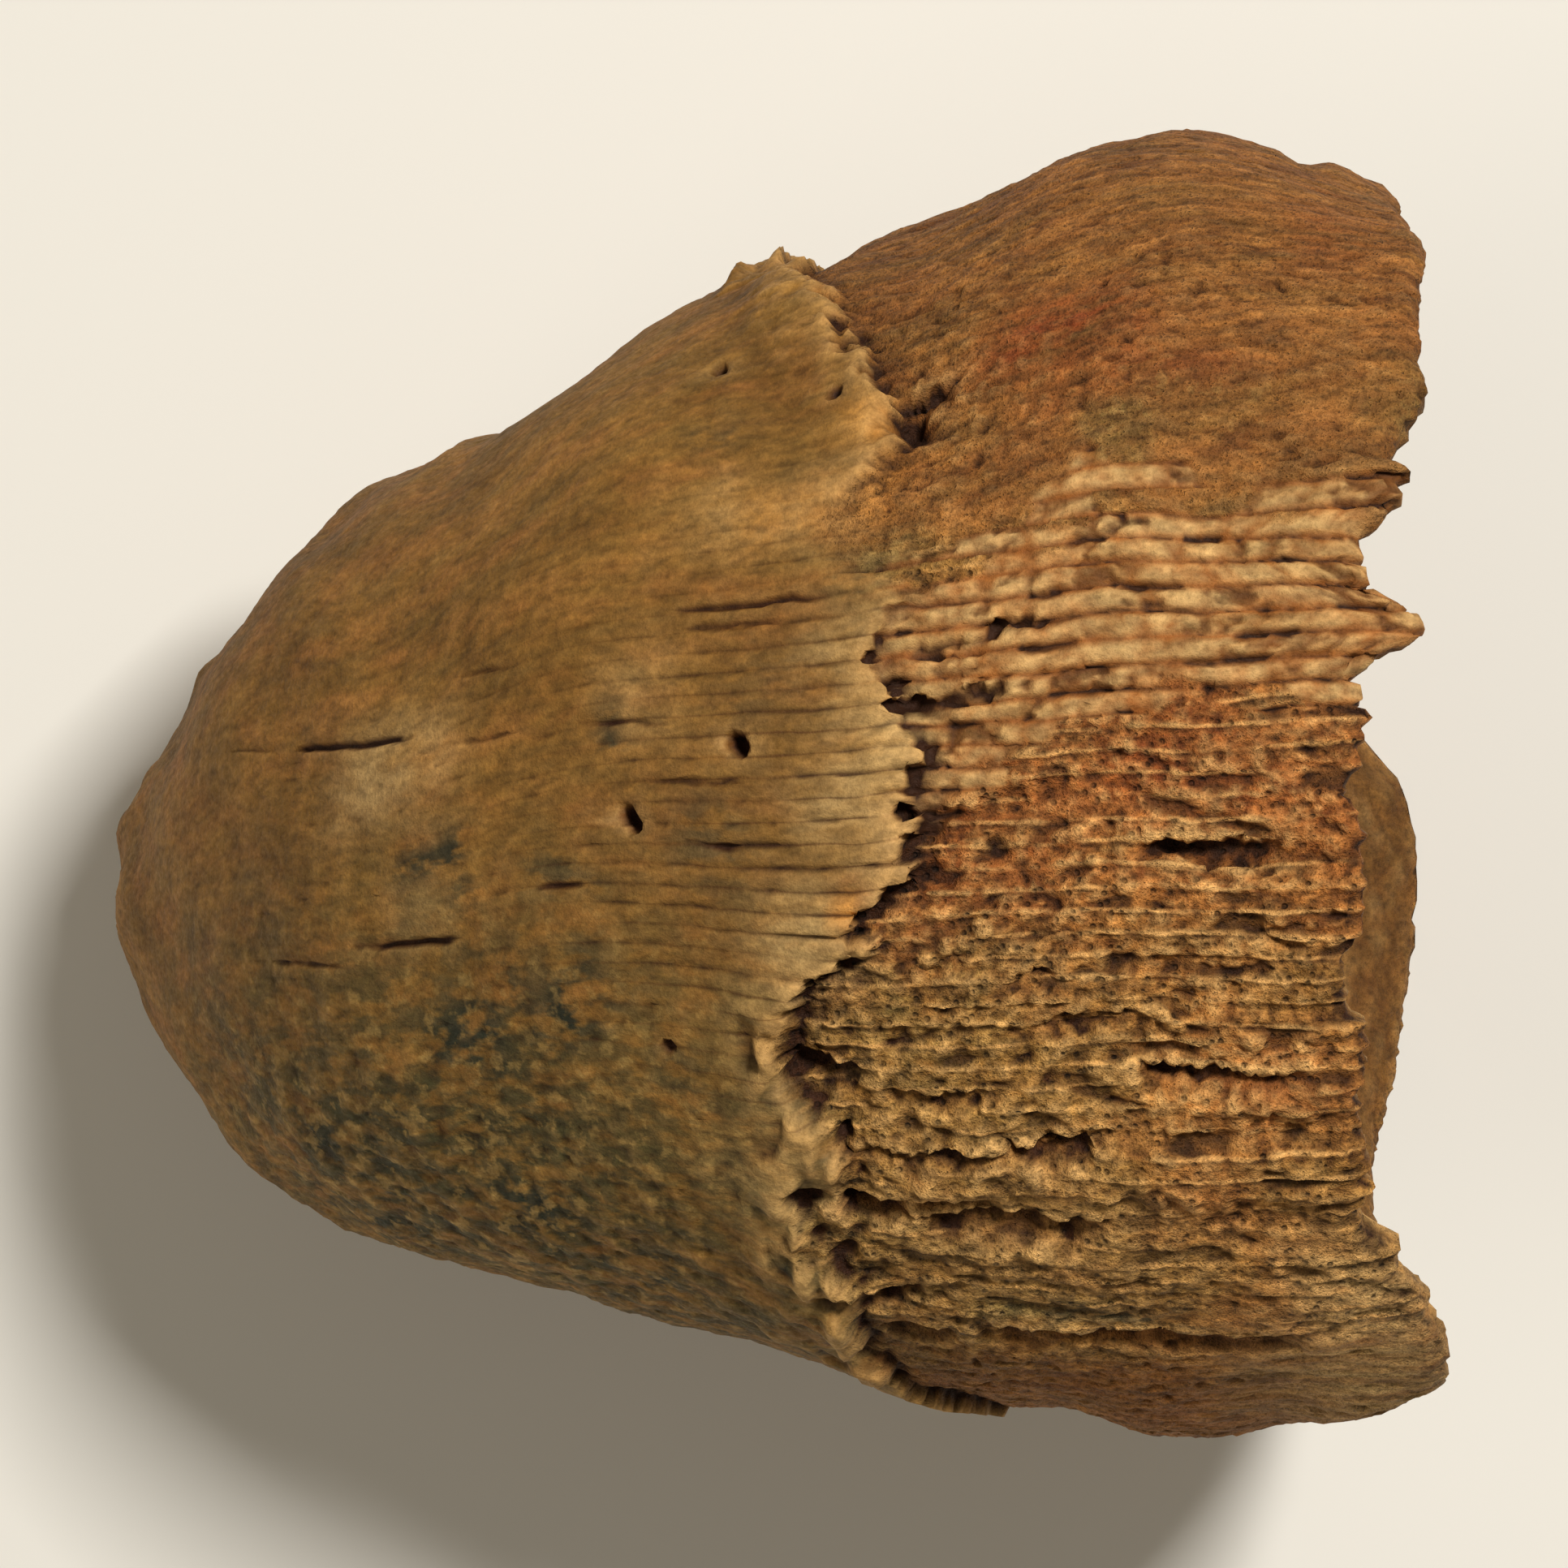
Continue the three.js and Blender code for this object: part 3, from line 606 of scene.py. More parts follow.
# %% [markdown]
# The masks now choose between the kinds of relief. At the rim each septum also ends in a small tooth of its own
# length, which is pushed out along the horn, because relief at right angles to the wall can't make a tooth.

# %% All the fine relief together
on_bare = planks * cream + blades * sponge + skins * skin - marks * bare
fine = outer * (1 - bare) + on_bare * (1 - in_cup) + cup * in_cup
lump = 0.2 + 0.7 * noise(septum / 2.5, 0 * along + 0.5, round(SEPTA / 2.5), 97)
lump = lump + 0.3 * noise(septum, 0 * along, SEPTA, 99)
broad_blade = smooth(np.abs(wobble), 0.5, 0.1)
standing = plank * cream + (0.7 + 0.5 * broad_blade) * sponge * (1 - hidden)
standing = standing + 0.3 * (skin + hidden) * fleck(1, 1, 98)
tooth = lump * standing * smooth(stage, 0.965, 0.998) * smooth(share, 0.88, 0.97)
print("fine relief", span(fine), "mm, teeth", span(tooth), "mm")

# %% [markdown]
# ## Masks for the finish
#
# The colours depend on the relief: the gaps are darkened with painted shade, and the edges that stand out are rubbed
# pale. Both masks compare the relief with a blurred copy of itself, which works at any depth and needs no painting by
# hand.

# %% Gaps and edges
def blurred(field, columns, rows):
    """The field averaged over a box, twice, so that the average is soft."""
    for _ in range(2):
        ring = np.concatenate([field[:, -columns:], field, field[:, :columns]], axis=1)
        total = np.cumsum(np.pad(ring, ((0, 0), (1, 0))), axis=1)
        field = (total[:, 2 * columns + 1:] - total[:, :-2 * columns - 1]) / (2 * columns + 1)
        total = np.cumsum(np.pad(field, ((rows + 1, rows), (0, 0)), mode="edge"), axis=0)
        field = (total[2 * rows + 1:] - total[:-2 * rows - 1]) / (2 * rows + 1)
    return field


surface = fine + layers * (1 - in_cup) - hollow
near = surface - blurred(surface, PER_SEPTUM // 3, 3 // ROW_STEP)
far = surface - blurred(surface, PER_SEPTUM, 10 // ROW_STEP)
# painted shade: how far a point lies below its blurred copy
crevice = np.clip((2.4 + 1.6 * (1 - bare)) * -near + np.minimum(-1.2 * far, 0.4) - 0.04, 0, 1)
edge = np.clip(3.5 * near + 1.2 * far, 0, 1)
for relief_mask, where in ((crevice, "gaps"), (edge, "edges")):
    print("in", where, f"{(relief_mask > 0.3).mean():.1%}", "of the net")

# %% [markdown]
# Some colours go with one kind of surface alone. What has sunk, opened or lost its top, and the pits of the sponge,
# are dim with painted shade, whole planks are worn pale, and the outer layer is pale along its margin, where the ledge
# breaks it off fresh.

# %% Dim, worn and pale places
# angle, how pale the margin is there
MARGIN = np.array([
    (60, 0), (68, 0.2), (75, 0.7), (90, 0.8), (104, 0.8), (108, 0.4), (116, 0.2), (124, 0.7), (135, 0.6), (148, 0.5),
    (156, 0.2), (170, 0.2),
])
lows = rough * (1 - bare) * smooth(tufts, 0.1, -0.5)
dim_sponge = sponge * (0.8 * sunk + 0.5 * pits * (1 - sunk))
# painted shade in sunk places, pits of the sponge, lost plank tops and open gaps
dim = np.clip(dim_sponge + cream * (0.6 * lost + 0.4 * opened * (1 - plank)), 0, 1)
worn = np.clip(0.5 + 0.7 * beads + 0.5 * fleck(1, 1.2, 105, 2) - 0.4 * lost, 0, 1) * cream
margin = np.interp(angle, *MARGIN.T) * smooth(stage, ledge - 0.045, ledge - 0.012) * (1 - bare)
margin = margin * smooth(fleck(2.5, 1.6, 108, 2), -0.6, 0.1) * smooth(angle, 200, 175) * (1 - groove)
print("dim", span(dim), "worn", span(worn), "margin", span(margin))

# %% [markdown]
# Minerals have left pale, dark, red, orange and green stains, and some of the stone is warmer than the rest. Two pale
# patches near the rim on the low flank are painted light, which brightens that side. Every stain has its own place, so
# they are lists too. Noise makes their outlines wander, since a stain seeps unevenly.

# %% Stains
# angle, degrees to each side, stage, stages to each side, strength
PALE = [
    (80, 8, 0.557, 0.04, 1), (98, 5, 0.578, 0.02, 0.5), (103, 7, 0.757, 0.025, 1), (90, 9, 0.785, 0.022, 1),
    (60, 5, 0.72, 0.03, 0.4), (59, 5, 0.755, 0.02, 0.5), (131, 7, 0.738, 0.03, 1), (127, 6, 0.745, 0.02, 0.8),
    # the patches at 158 and 145 degrees are painted light on the low flank, which faces away from the key light
    (83, 7, 0.797, 0.018, 1), (158, 14, 0.98, 0.05, 1), (145, 12, 0.985, 0.04, 1), (136, 12, 0.86, 0.07, 0.3),
    (78, 6, 0.69, 0.02, 0.35),
]
DARK = [
    (91.5, 3.5, 0.585, 0.018, 1), (97, 2.5, 0.6, 0.012, 0.9), (115, 8, 0.598, 0.04, 1), (110, 7, 0.653, 0.03, 1),
    (139, 10, 0.61, 0.05, 1), (129, 7, 0.488, 0.04, 0.9), (152, 9, 0.5, 0.05, 0.9), (128, 6, 0.56, 0.03, 0.9),
    (150, 10, 0.66, 0.03, 0.9), (81.5, 4.5, 0.675, 0.01, 0.95), (97, 2.5, 0.653, 0.02, 0.8),
    (108, 5, 0.625, 0.03, 0.7), (145, 2.4, 0.88, 0.065, 1), (131, 3, 0.77, 0.02, 0.8), (116, 3, 0.76, 0.015, 0.8),
    (109, 3, 0.87, 0.03, 0.5), (165, 6, 0.292, 0.02, 0.9), (119, 6, 0.705, 0.03, 0.6), (150, 14, 0.78, 0.03, 0.5),
    (94, 4, 0.722, 0.02, 0.6), (50, 2, 0.706, 0.01, 0.5), (66, 5, 0.782, 0.02, 0.5), (135, 38, 0.55, 0.2, 0.65),
    (165, 25, 0.68, 0.1, 0.6), (78, 4, 0.74, 0.03, 0.3),
]
RED = [
    (46, 5, 0.849, 0.025, 1), (46, 5, 0.875, 0.03, 1), (51, 4, 0.907, 0.03, 0.9), (54, 5, 0.884, 0.04, 0.6),
    (32, 4, 0.964, 0.02, 0.5), (100, 4, 0.78, 0.012, 1), (100, 8, 0.83, 0.05, 0.5), (88, 6, 0.92, 0.05, 0.6),
]
ORANGE = [
    (100.5, 2.2, 0.777, 0.008, 1), (53, 5, 0.778, 0.01, 0.35), (59, 5, 0.775, 0.015, 0.2), (60, 4, 0.745, 0.02, 0.25),
]
GREEN = [
    (105, 5, 0.829, 0.02, 0.7), (110, 6, 0.789, 0.02, 0.7), (113, 6, 0.803, 0.02, 0.7), (148, 7, 0.739, 0.02, 0.8),
    (145, 4, 0.835, 0.06, 0.7), (58, 5, 0.892, 0.02, 0.8), (54, 5, 0.925, 0.03, 0.4), (52, 4, 1.0, 0.02, 0.5),
    (67, 4, 0.79, 0.02, 0.8), (120, 20, 0.82, 0.06, 0.35), (140, 40, 0.56, 0.22, 1),
]
WARM = [(118, 8, 0.965, 0.045, 0.9), (128, 6, 0.93, 0.03, 0.6), (149, 9, 0.97, 0.04, 1), (136, 6, 0.96, 0.03, 0.4)]
SPREAD = 1.5  # how far a stain fades past its listed size
round_at = angle + 2.5 * fleck(5, 3, 101, 2)
stage_at = stage + 0.012 * fleck(5, 3, 104, 2)


def stain(patches):
    """A mask with soft patches whose outlines wander."""
    mask = 0 * septum
    for place, breadth, middle, length, strength in patches:
        across = strength * hump(turn(round_at, place), SPREAD * breadth)
        mask = np.maximum(mask, across * hump(stage_at - middle, SPREAD * length))
    return mask * (1 - in_cup)


print(len(PALE), "pale and", len(DARK), "dark stains")


# %% [markdown]
# ## The mesh
#
# The relief is added along the normals of the body, and the lowest points are held at the floor, where the horn
# is worn flat. A Displace modifier could do this too, but it knows neither septa nor stages.

# %% Points of the surface
round_way = np.roll(body, -1, axis=1) - np.roll(body, 1, axis=1)
long_way = np.gradient(body, axis=0)
normal = np.cross(round_way, long_way)
normal /= np.maximum(np.linalg.norm(normal, axis=-1, keepdims=True), 1e-9)
if np.sum(normal[wall_rows // 2] * arm[wall_rows // 2]) < 0:
    normal = -normal
tip = on_horn(0, np.array(0.0))


def all_points(heights):
    """The whole surface with relief of these heights, in the part's frame and in metres."""
    grid = body + normal * heights[..., None]
    grid[..., 0] += tooth
    points = np.vstack([tip[None], grid.reshape(-1, 3), grid[-1].mean(axis=0)[None]])
    points[:, 2] = np.maximum(points[:, 2], 0)
    return points * MM - ORIGIN


points = all_points(fine)
front = smooth(normal[..., 2], -0.1, 0.4)
care = (1 + front * (1.8 * cream + 1.1 * sponge + 0.6 * skin)) * (1 - in_cup) + 0.5 * in_cup
drawn_points = all_points(fine * care)  # relief made stronger where the thinning has to spare it
print("points from", points.min(axis=0).round(4), "to", points.max(axis=0).round(4), "m")

# %% [markdown]
# Four neighbouring points of the net make a face, and one more point closes each end with a fan of triangles. The
# corners of every face go round in the order that makes it look outwards, so that the mesh is a proper solid.

# %% Faces
ROWS = len(stage)
first = 1 + np.arange((ROWS - 1) * COLUMNS).reshape(-1, COLUMNS)
beside = np.roll(first, -1, axis=1)
quads = np.stack([first, beside, beside + COLUMNS, first + COLUMNS], -1).reshape(-1, 4)
ring = first[0]
last_ring = ring + (ROWS - 1) * COLUMNS
tip_fan = np.stack([np.zeros(COLUMNS, int), np.roll(ring, -1), ring], -1)
cup_fan = np.stack([np.full(COLUMNS, len(points) - 1), last_ring, np.roll(last_ring, -1)], -1)
corners = np.concatenate([quads.ravel(), tip_fan.ravel(), cup_fan.ravel()]).astype(np.int32)
sides = np.repeat([4, 3], [len(quads), 2 * COLUMNS])

net = bpy.data.meshes.new("horn net")
net.vertices.add(len(points))
net.vertices.foreach_set("co", drawn_points.ravel().astype(np.float32))
net.loops.add(len(corners))
net.loops.foreach_set("vertex_index", corners)
net.polygons.add(len(sides))
net.polygons.foreach_set("loop_start", (np.cumsum(sides) - sides).astype(np.int32))
net.update(calc_edges=True)
print("net:", len(points), "points and", len(sides), "faces")

# %% [markdown]
# The masks go onto the points as attributes, where the material can read them, and the thinning to come carries
# them along. So do the coordinates of growth: round the horn, as a circle that has no seam, and along it.

# %% Masks on the points
RUST_AT, RUST_WIDE = 90, 26  # the angle where the sponge is most rusty, and how far the rust spreads
masks = {
    "bare": bare, "cream": cream, "sponge": sponge, "cup": in_cup + 0 * septum, "crevice": crevice, "edge": edge,
    "hollow": np.clip(hollow + 2 * marks, 0, 1), "dim": dim, "worn": worn, "pale": np.maximum(stain(PALE), margin),
    "dark": np.maximum(stain(DARK), 0.6 * lows + 0.5 * block_zone * (1 - blocks)),
    "red": stain(RED), "green": stain(GREEN), "orange": stain(ORANGE), "warm": stain(WARM),
    "grooved": grooved * (1 - bare) + 0 * septum,
    "rusty": np.maximum(hump(turn(angle, RUST_AT), RUST_WIDE), stain(WARM)),
}
for name, mask in masks.items():
    values = np.concatenate([[mask[0, 0]], mask.ravel(), [mask[-1, 0]]]).astype(np.float32)
    net.attributes.new(name, "FLOAT", "POINT").data.foreach_set("value", values)
crooked_turn = crooked * 2 * np.pi / SEPTA
radius = pitch * SEPTA / (2 * np.pi)
streak = np.stack([radius * np.cos(crooked_turn), radius * np.sin(crooked_turn), along + 0 * crooked_turn], -1)
streak = np.vstack([streak[0, :1], streak.reshape(-1, 3), streak[-1, :1]]).astype(np.float32)
for name, vectors in (("streak", streak), ("true place", points.astype(np.float32))):
    net.attributes.new(name, "FLOAT_VECTOR", "POINT").data.foreach_set("vector", vectors.ravel())
print(len(masks), "masks on the net")

# %% [markdown]
# The net is far finer than it has to be. A Decimate modifier thins it by taking away the points that matter least
# to the shape. It works on the drawn points, whose relief is stronger where small forms are to be kept, and after
# it the points that are left go back to their true places.

# %% Thinning
MOST_TRIANGLES = 198000
corallum = put_in_scene("horn_coral", net)
thinning = corallum.modifiers.new("thinning", "DECIMATE")
thinning.ratio = MOST_TRIANGLES / (2 * len(quads) + 2 * COLUMNS)
thinned = bpy.data.meshes.new_from_object(corallum.evaluated_get(bpy.context.evaluated_depsgraph_get()))
corallum.modifiers.clear()
corallum.data = thinned
thinned.name = "horn coral"
bpy.data.meshes.remove(net)
kept = np.zeros(3 * len(thinned.vertices), np.float32)
thinned.attributes["true place"].data.foreach_get("vector", kept)
kept[2::3] = np.maximum(kept[2::3], 0)
thinned.vertices.foreach_set("co", kept)  # the relief goes back to its true height
thinned.attributes.remove(thinned.attributes["true place"])
thinned.update()
print("thinned to", len(thinned.polygons), "faces")

# %% [markdown]
# Thinning may leave slivers: two faces back to back on the same three corners. They enclose nothing and would spoil
# a print, so both are taken off. The volume of the closed mesh then shows that its faces look outwards.

# %% Slivers taken off
solid = bmesh.new()
solid.from_mesh(thinned)
bmesh.ops.triangulate(solid, faces=solid.faces)
on_same_corners = {}
for face in solid.faces:
    on_same_corners.setdefault(frozenset(corner.index for corner in face.verts), []).append(face)
slivers = [face for faces in on_same_corners.values() if len(faces) > 1 for face in faces]
bmesh.ops.delete(solid, geom=slivers, context="FACES")
print(len(slivers), "slivers, and then", sum(len(edge.link_faces) != 2 for edge in solid.edges), "open edges")
print("volume", round(1e6 * solid.calc_volume(signed=True), 2), "cubic centimetres, above zero if faces look outwards")
solid.to_mesh(thinned)
solid.free()
thinned.polygons.foreach_set("use_smooth", np.ones(len(thinned.polygons), bool))

# %% [markdown]
# ## The finish of the stone
#
# The stone is one material, mixed from the masks and from noise. In the wall the noise runs through the coordinates
# of growth, so colours are drawn out along the septa, and plain coordinates give the grain of the stone itself.
# Its nodes are many and alike, so a few short functions add, fill and link them.

# %% Helpers for shader nodes
def paint(red, green, blue):
    """A colour given from 0 to 255, in the linear numbers that a shader takes."""
    return (*((np.array([red, green, blue]) / 255) ** 2.2), 1)


def plug(node, inputs):
    """Links or fills a node's inputs by name or number."""
    for key, value in inputs.items():
        if isinstance(value, bpy.types.NodeSocket):
            tree.links.new(value, node.inputs[key])
        else:
            node.inputs[key].default_value = value
    return node


def add(kind, inputs=None, **settings):
    """Adds a shader node to the tree in hand, sets it up and plugs its inputs."""
    made = tree.nodes.new("ShaderNode" + kind)
    for key, value in settings.items():
        setattr(made, key, value)
    return plug(made, inputs or {})


def blend(part, under, over):
    """Lays part of one colour over another."""
    return add("Mix", {0: part, 6: under, 7: over}, data_type="RGBA").outputs[2]


def maths(how, value, other=0.0, clamp=False):
    """One Math node's result."""
    return add("Math", {0: value, 1: other}, operation=how, use_clamp=clamp).outputs[0]


def ramp(value, start, end, low_value=0.0, high_value=1.0):
    """Stretches part of a range onto another, and holds it at both ends."""
    limits = {"From Min": start, "From Max": end, "To Min": low_value, "To Max": high_value}
    return add("MapRange", {"Value": value, **limits}).outputs[0]


def new_group(name, inputs, outputs):
    """An empty shader group, and the sockets of its input and output nodes."""
    group = bpy.data.node_groups.new(name, "ShaderNodeTree")
    for in_out, sockets in (("INPUT", inputs), ("OUTPUT", outputs)):
        for socket_name, kind in sockets.items():
            group.interface.new_socket(socket_name, in_out=in_out, socket_type="NodeSocket" + kind)
    return group, group.nodes.new("NodeGroupInput").outputs, group.nodes.new("NodeGroupOutput").inputs


def use_group(group, inputs):
    """Places a group in the tree in hand with its own values."""
    return plug(add("Group", node_tree=group), inputs).outputs


print("cream paint is", [round(float(v), 2) for v in paint(193, 155, 102)])

# %% [markdown]
# Weathered stone is mottled in two tones everywhere, only in other sizes and colours. So that effect is a group with
# named inputs: its mask, clouds of noise made sharper or softer, chooses between two tones.

# %% Blotches
tree, given, result = new_group(
    "mottled stone", {"Place": "Vector", "Size": "Float", "Sharpness": "Float"}, {"Mask": "Float"})
scale = maths("DIVIDE", 1.0, given["Size"])
cloud = add("TexNoise", {"Vector": given["Place"], "Scale": scale, "Detail": 3.0, "Roughness": 0.62})
half_width = maths("DIVIDE", 0.5, given["Sharpness"])
lowest, highest = (maths(how, 0.5, half_width) for how in ("SUBTRACT", "ADD"))
tree.links.new(ramp(cloud.outputs[0], lowest, highest), result["Mask"])
mottle = tree
print(mottle.name, "has", len(mottle.nodes), "nodes")

# %% [markdown]
# Painted shade darkens the gaps and hollows. The second group lays it over any colour, where a mask says so.

# %% Painted shade in the gaps
tree, given, result = new_group(
    "painted shade in gaps", {"Color": "Color", "Shade tone": "Color", "Gap": "Float", "Amount": "Float"}, {"Color": "Color"})
amount = maths("MULTIPLY", given["Gap"], given["Amount"], clamp=True)
tree.links.new(blend(amount, given["Color"], given["Shade tone"]), result["Color"])
painted_shade = tree
print(painted_shade.name, "has", len(painted_shade.nodes), "nodes")

# %% [markdown]
# The material reads the masks by name. Blotches of four kinds are made once here and used again by most of the
# colours. The coordinates are scaled to millimetres, so that a size means the same as in the relief.

# %% The material and its coordinates
stone = bpy.data.materials.new("fossil stone")
stone.use_nodes = True
tree = stone.node_tree
shader = tree.nodes["Principled BSDF"]
mask = {name: add("Attribute", attribute_name=name).outputs["Fac"] for name in masks}
streaks = add("Attribute", attribute_name="streak").outputs["Vector"]
position = add("TexCoord").outputs["Object"]


def mapped(vector, **settings):
    """Coordinates that are scaled or moved."""
    return add("Mapping", {"Vector": vector, **settings}).outputs[0]


def clouds(where, size, sharpness):
    """A mask of soft blotches, with their size in millimetres."""
    return use_group(mottle, {"Place": where, "Size": size, "Sharpness": sharpness})["Mask"]


def times(product, *factors):
    """Masks multiplied."""
    for factor in factors:
        product = maths("MULTIPLY", product, factor)
    return product


place = mapped(position, Scale=(1 / MM, 1 / MM, 1 / MM))
drawn_out = mapped(streaks, Scale=(1, 1, 0.3))
broad = clouds(drawn_out, 2.2, 2.2)
spots = clouds(drawn_out, 0.8, 3.0)
blots = clouds(place, 0.7, 3.0)
patches = clouds(mapped(drawn_out, Location=(7.3, 1.9, 4.1)), 1.3, 2.5)
outside = ramp(mask["cup"], 0, 0.2, 1, 0)
print(len(tree.nodes), "nodes for masks and noise")

# %% [markdown]
# Each kind of surface has a dark and a light tone, mixed by blotches, or by wear on the planks. The masks then lay
# one zone over another.

# %% Ground colours
TONES = {
    "wall": (broad, (106, 74, 32), (144, 104, 50)), "skin": (spots, (100, 60, 26), (154, 102, 50)),
    "rust": (blots, (112, 59, 25), (174, 108, 54)), "dust": (blots, (109, 74, 33), (177, 128, 66)),
    "cream": (mask["worn"], (140, 90, 46), (193, 155, 102)), "cup": (blots, (98, 64, 28), (114, 78, 36)),
    # the dim pair: tones of the painted shade in sunk and open places
    "dim": (spots, (58, 50, 28), (98, 58, 26)),
}
ground = {name: blend(mix, paint(*dark), paint(*light)) for name, (mix, dark, light) in TONES.items()}
colour = blend(mask["bare"], ground["wall"], ground["skin"])
colour = blend(mask["sponge"], colour, blend(mask["rusty"], ground["dust"], ground["rust"]))
colour = blend(mask["cream"], colour, ground["cream"])
colour = blend(mask["cup"], colour, ground["cup"])
print(len(TONES), "pairs of tones")

# %% [markdown]
# Thin hues go over the ground: the brown leans towards green in some places and towards red in others. The stains
# follow, with the painted shade of dim places and the painted light of two pale patches among them, and the edges that
# were rubbed pale come last, because wear is newer than any stain.

# %% Hues and stains
leaning = times(ramp(mask["sponge"], 0, 1, 0.28, 0.42), ramp(mask["cup"], 0, 1, 1, 0.2))
red_leaning = times(leaning, ramp(mask["green"], 0, 1, 1, 0.3))
OVERLAYS = [
    (times(ramp(patches, 0.5, 1), leaning), paint(90, 80, 42)),
    (times(ramp(patches, 0.5, 0), red_leaning), paint(176, 112, 60)),
    (times(mask["grooved"], 0.4), paint(100, 70, 34)),
    (times(mask["warm"], ramp(patches, 0, 1, 0.2, 0.7)), paint(178, 112, 58)),
    # painted shade in dim places
    (times(mask["dim"], 0.8), ground["dim"]),
    # pale stains, two of them painted light
    (times(mask["pale"], ramp(spots, 0, 0.8, 0.3, 0.95)), paint(184, 150, 98)),
    (times(mask["red"], ramp(spots, 0.1, 0.8, 0.1, 0.9)), paint(128, 56, 24)),
    (times(mask["orange"], ramp(blots, 0, 0.6, 0.4, 1)), paint(226, 152, 66)),
    (times(mask["green"], spots), paint(92, 86, 46)),
    (times(mask["dark"], ramp(spots, 0.3, 0.65)), paint(34, 44, 36)),
    (times(mask["green"], ramp(blots, 0.6, 0.9), 0.7), paint(158, 128, 74)),
    (times(mask["edge"], ramp(mask["sponge"], 0, 1, 0.4, 0.8)), paint(214, 168, 106)),
]
for part, laid_over in OVERLAYS:
    colour = blend(part, colour, laid_over)
print(len(OVERLAYS), "colours over the ground")

# %% [markdown]
# The finest gaps are thinner than the mesh can show, so the colour draws their shade as painted shade. The angle in
# the coordinates of growth gives back the count of septa, and so the distance from the nearest one. The planks also
# darken towards their gaps with painted shade. In the sponge the same count gives pale edges to some blades, and a
# painted shadow on their lower side.

# %% Lines between the septa, and thin blades
turned = add("SeparateXYZ", {"Vector": streaks}).outputs
count = maths("MULTIPLY", maths("ARCTAN2", turned[1], turned[0]), SEPTA / (2 * math.pi))
from_middle = maths("PINGPONG", count, 0.5)  # 0 on a septum and 0.5 between two
below = maths("FRACT", count)
# painted shade: dark lines in gaps between septa that are too fine for the mesh
line_mask = ramp(from_middle, ramp(spots, 0, 1, 0.46, 0.38), 0.5)
line_where = maths("ADD", times(mask["grooved"], 0.75), times(mask["bare"], 0.3), clamp=True)
line_where = times(line_where, ramp(mask["cup"], 0, 1, 1, 0.3), ramp(patches, 0.2, 0.8, 0.15, 1))
# painted shade: each plank darkens towards its gaps
rim_of_plank = times(ramp(from_middle, 0.2, 0.48, 0, 0.75), mask["cream"])
in_sponge = times(mask["sponge"], outside)
some_blades = times(in_sponge, ramp(patches, 0.42, 0.75))
blade_edge = times(ramp(from_middle, 0.11, 0.04), some_blades, 0.55)
# painted shadow on the side of each blade that faces away from the light
shade = times(ramp(below, 0.08, 0.13), ramp(below, 0.36, 0.18), some_blades, 0.5)
LINES = [
    (times(line_mask, line_where), (78, 46, 22)), (rim_of_plank, (150, 88, 38)), (blade_edge, (214, 160, 96)),
    (shade, (60, 38, 18)),
]
for part, tone in LINES:
    colour = blend(part, colour, paint(*tone))
# painted shade: brown in hollows, slots and holes, and near black in the gaps
for gaps, tone, amount in (("hollow", (112, 58, 24), 0.55), ("crevice", (50, 28, 12), 1.3)):
    colour = use_group(painted_shade, {"Color": colour, "Shade tone": paint(*tone), "Gap": mask[gaps], "Amount": amount})[0]
print(len(LINES), "kinds of lines drawn, and painted shade laid in the gaps")

# %% [markdown]
# Close up the stone has fibres along the septa, grains, dark pores, and round cells in the sponge, whose dark middles
# are painted shade in pits and whose pale rims are painted highlights, both too small for the mesh. They make the
# colour lighter and darker by one factor, so that none of them changes its hue.

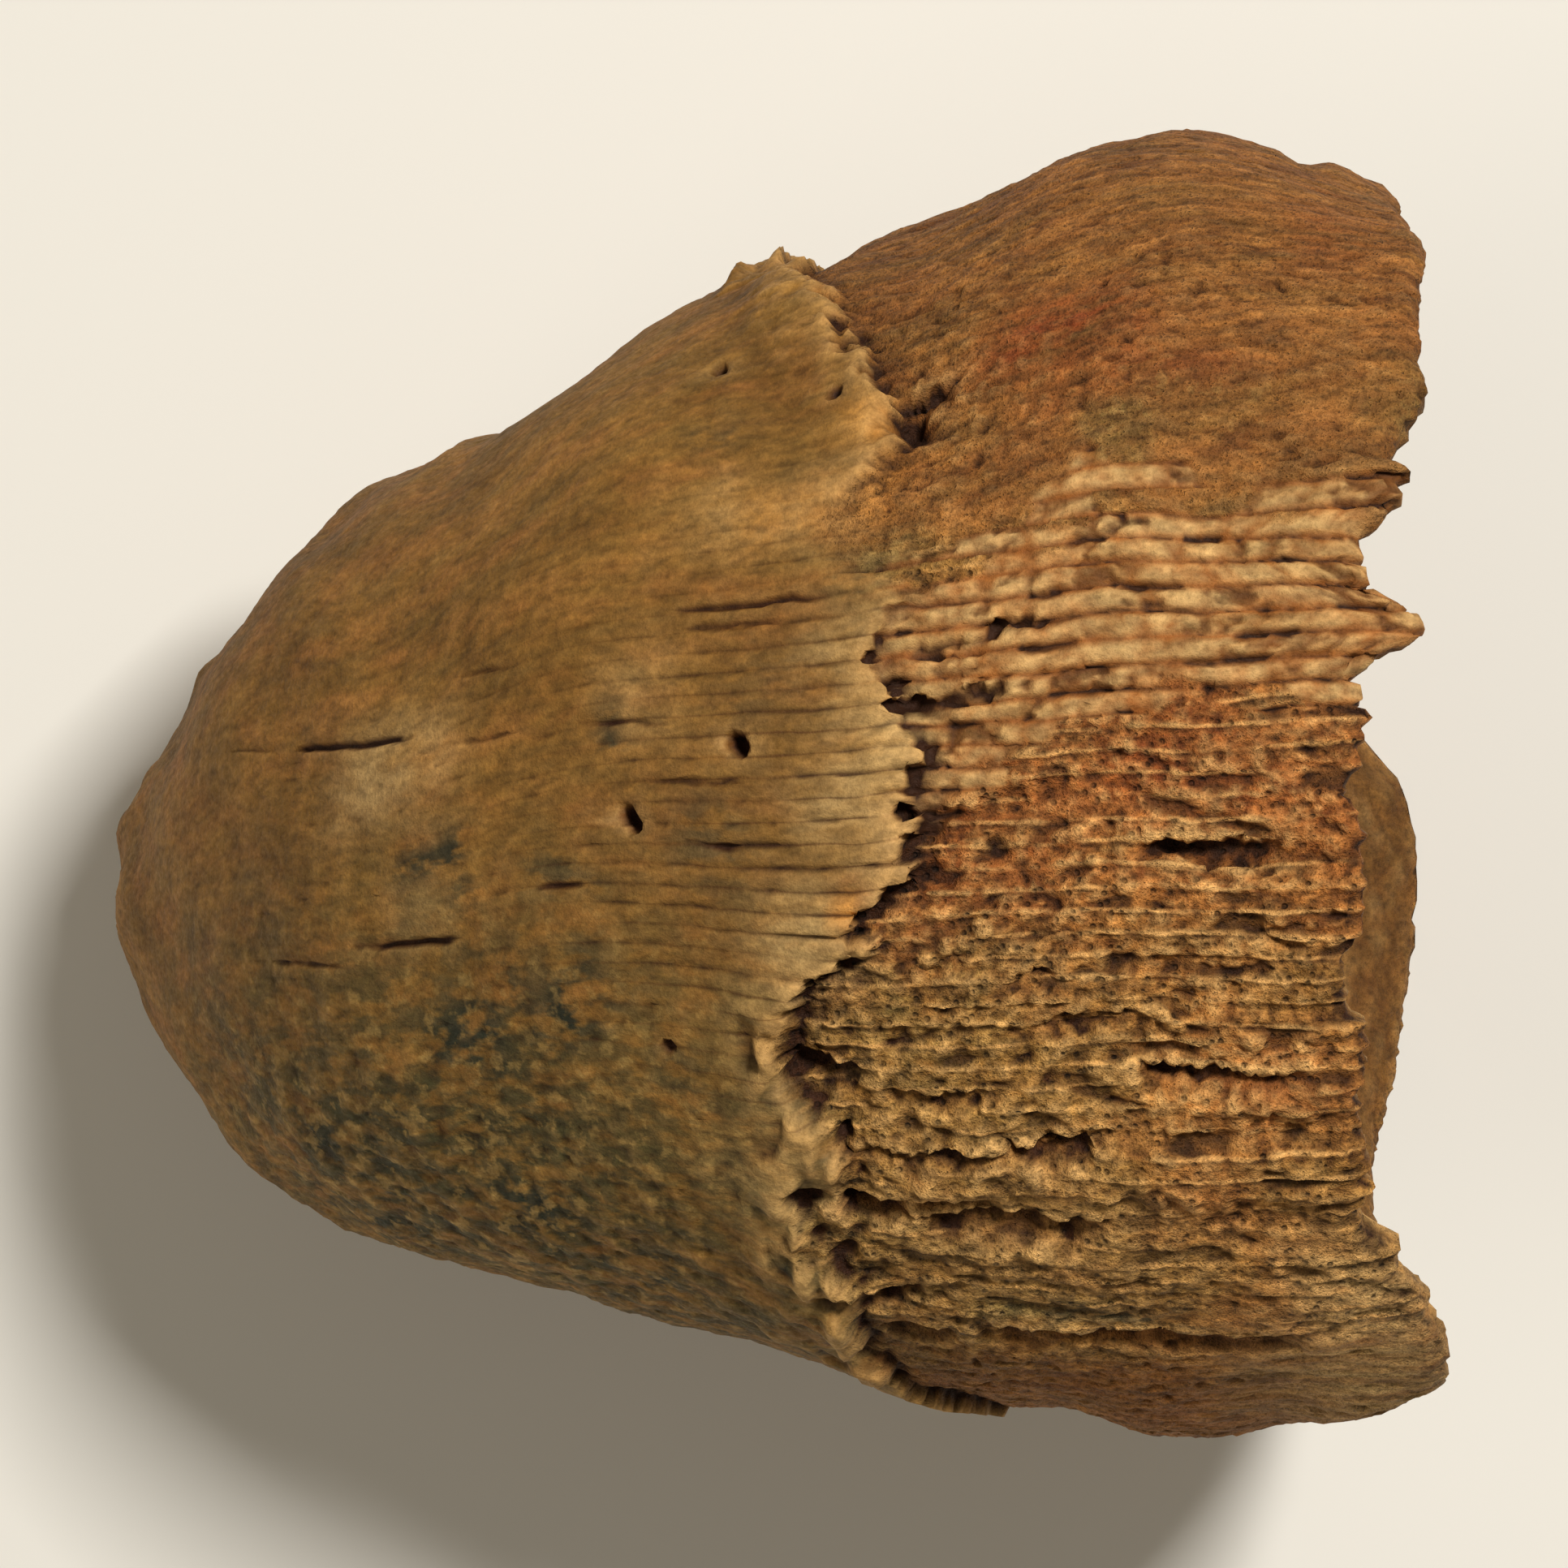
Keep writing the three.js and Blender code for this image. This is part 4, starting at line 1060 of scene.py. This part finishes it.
# %% Fibres, grains and pores
fine_place = mapped(streaks, Scale=(3.4, 3.4, 1.3))
fibres = add("TexNoise", {"Vector": fine_place, "Scale": 1.0, "Detail": 2.0}).outputs[0]
grain = add("TexNoise", {"Vector": place, "Scale": 4.5, "Detail": 2.5, "Roughness": 0.85}).outputs[0]
rocky = times(mask["bare"], ramp(mask["cream"], 0, 1, 1, 0.15), ramp(mask["cup"], 0, 1, 1, 0.3))
cells = add("TexVoronoi", {"Vector": place, "Scale": 2.5}).outputs["Distance"]
holed = times(in_sponge, ramp(spots, 0.2, 0.7))
pores = times(ramp(grain, 0.6, 0.72), rocky)
# the dark middles of the cells are painted shade in pits
pores = maths("MAXIMUM", pores, times(ramp(cells, 0.3, 0.14), holed))
LIGHTER = [  # each is added to 1, and the sums are multiplied
    times(ramp(grain, 0.3, 0.7, -0.5, 0.5), ramp(rocky, 0, 1, 0.45, 1.15)),
    times(maths("SUBTRACT", fibres, 0.5), ramp(rocky, 0, 1, 1.3, 1.5)),
    times(ramp(blots, 0, 1, -0.1, 0.08), rocky),
    times(pores, -0.55),
    # the pale rims of the cells are painted highlights
    times(ramp(cells, 0.4, 0.65, 0, 0.35), holed),
]
speckle = 1.0
for lighter in LIGHTER:
    speckle = times(speckle, maths("ADD", 1.0, lighter))
print(len(LIGHTER), "kinds of speckle")

# %% [markdown]
# Last, the shader takes what was mixed. Dull limestone hardly shines, and its grains and pores, too small for the
# mesh, also stand in a bump.

# %% The stone's shader
SHINE = 0.25
BUMP_HEIGHT, BUMP_STRENGTH = 0.12 * MM, 0.9
tinted = add("VectorMath", {0: colour, "Scale": speckle}, operation="SCALE").outputs[0]
bumps = maths("SUBTRACT", times(grain, ramp(rocky, 0, 1, 0.5, 1.6)), times(pores, 1.5))
bump = add("Bump", {"Height": bumps, "Distance": BUMP_HEIGHT, "Strength": BUMP_STRENGTH}).outputs[0]
roughness = ramp(grain, 0.3, 0.7, 0.9, 0.62)
plug(shader, {"Base Color": tinted, "Roughness": roughness, "Normal": bump, "Specular IOR Level": SHINE})
thinned.materials.clear()
thinned.materials.append(stone)
print("the stone has", len(tree.nodes), "nodes")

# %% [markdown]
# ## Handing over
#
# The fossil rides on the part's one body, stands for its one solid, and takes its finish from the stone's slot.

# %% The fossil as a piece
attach(corallum, "root")
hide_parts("corallum")
print(corallum.name, "rides on root")
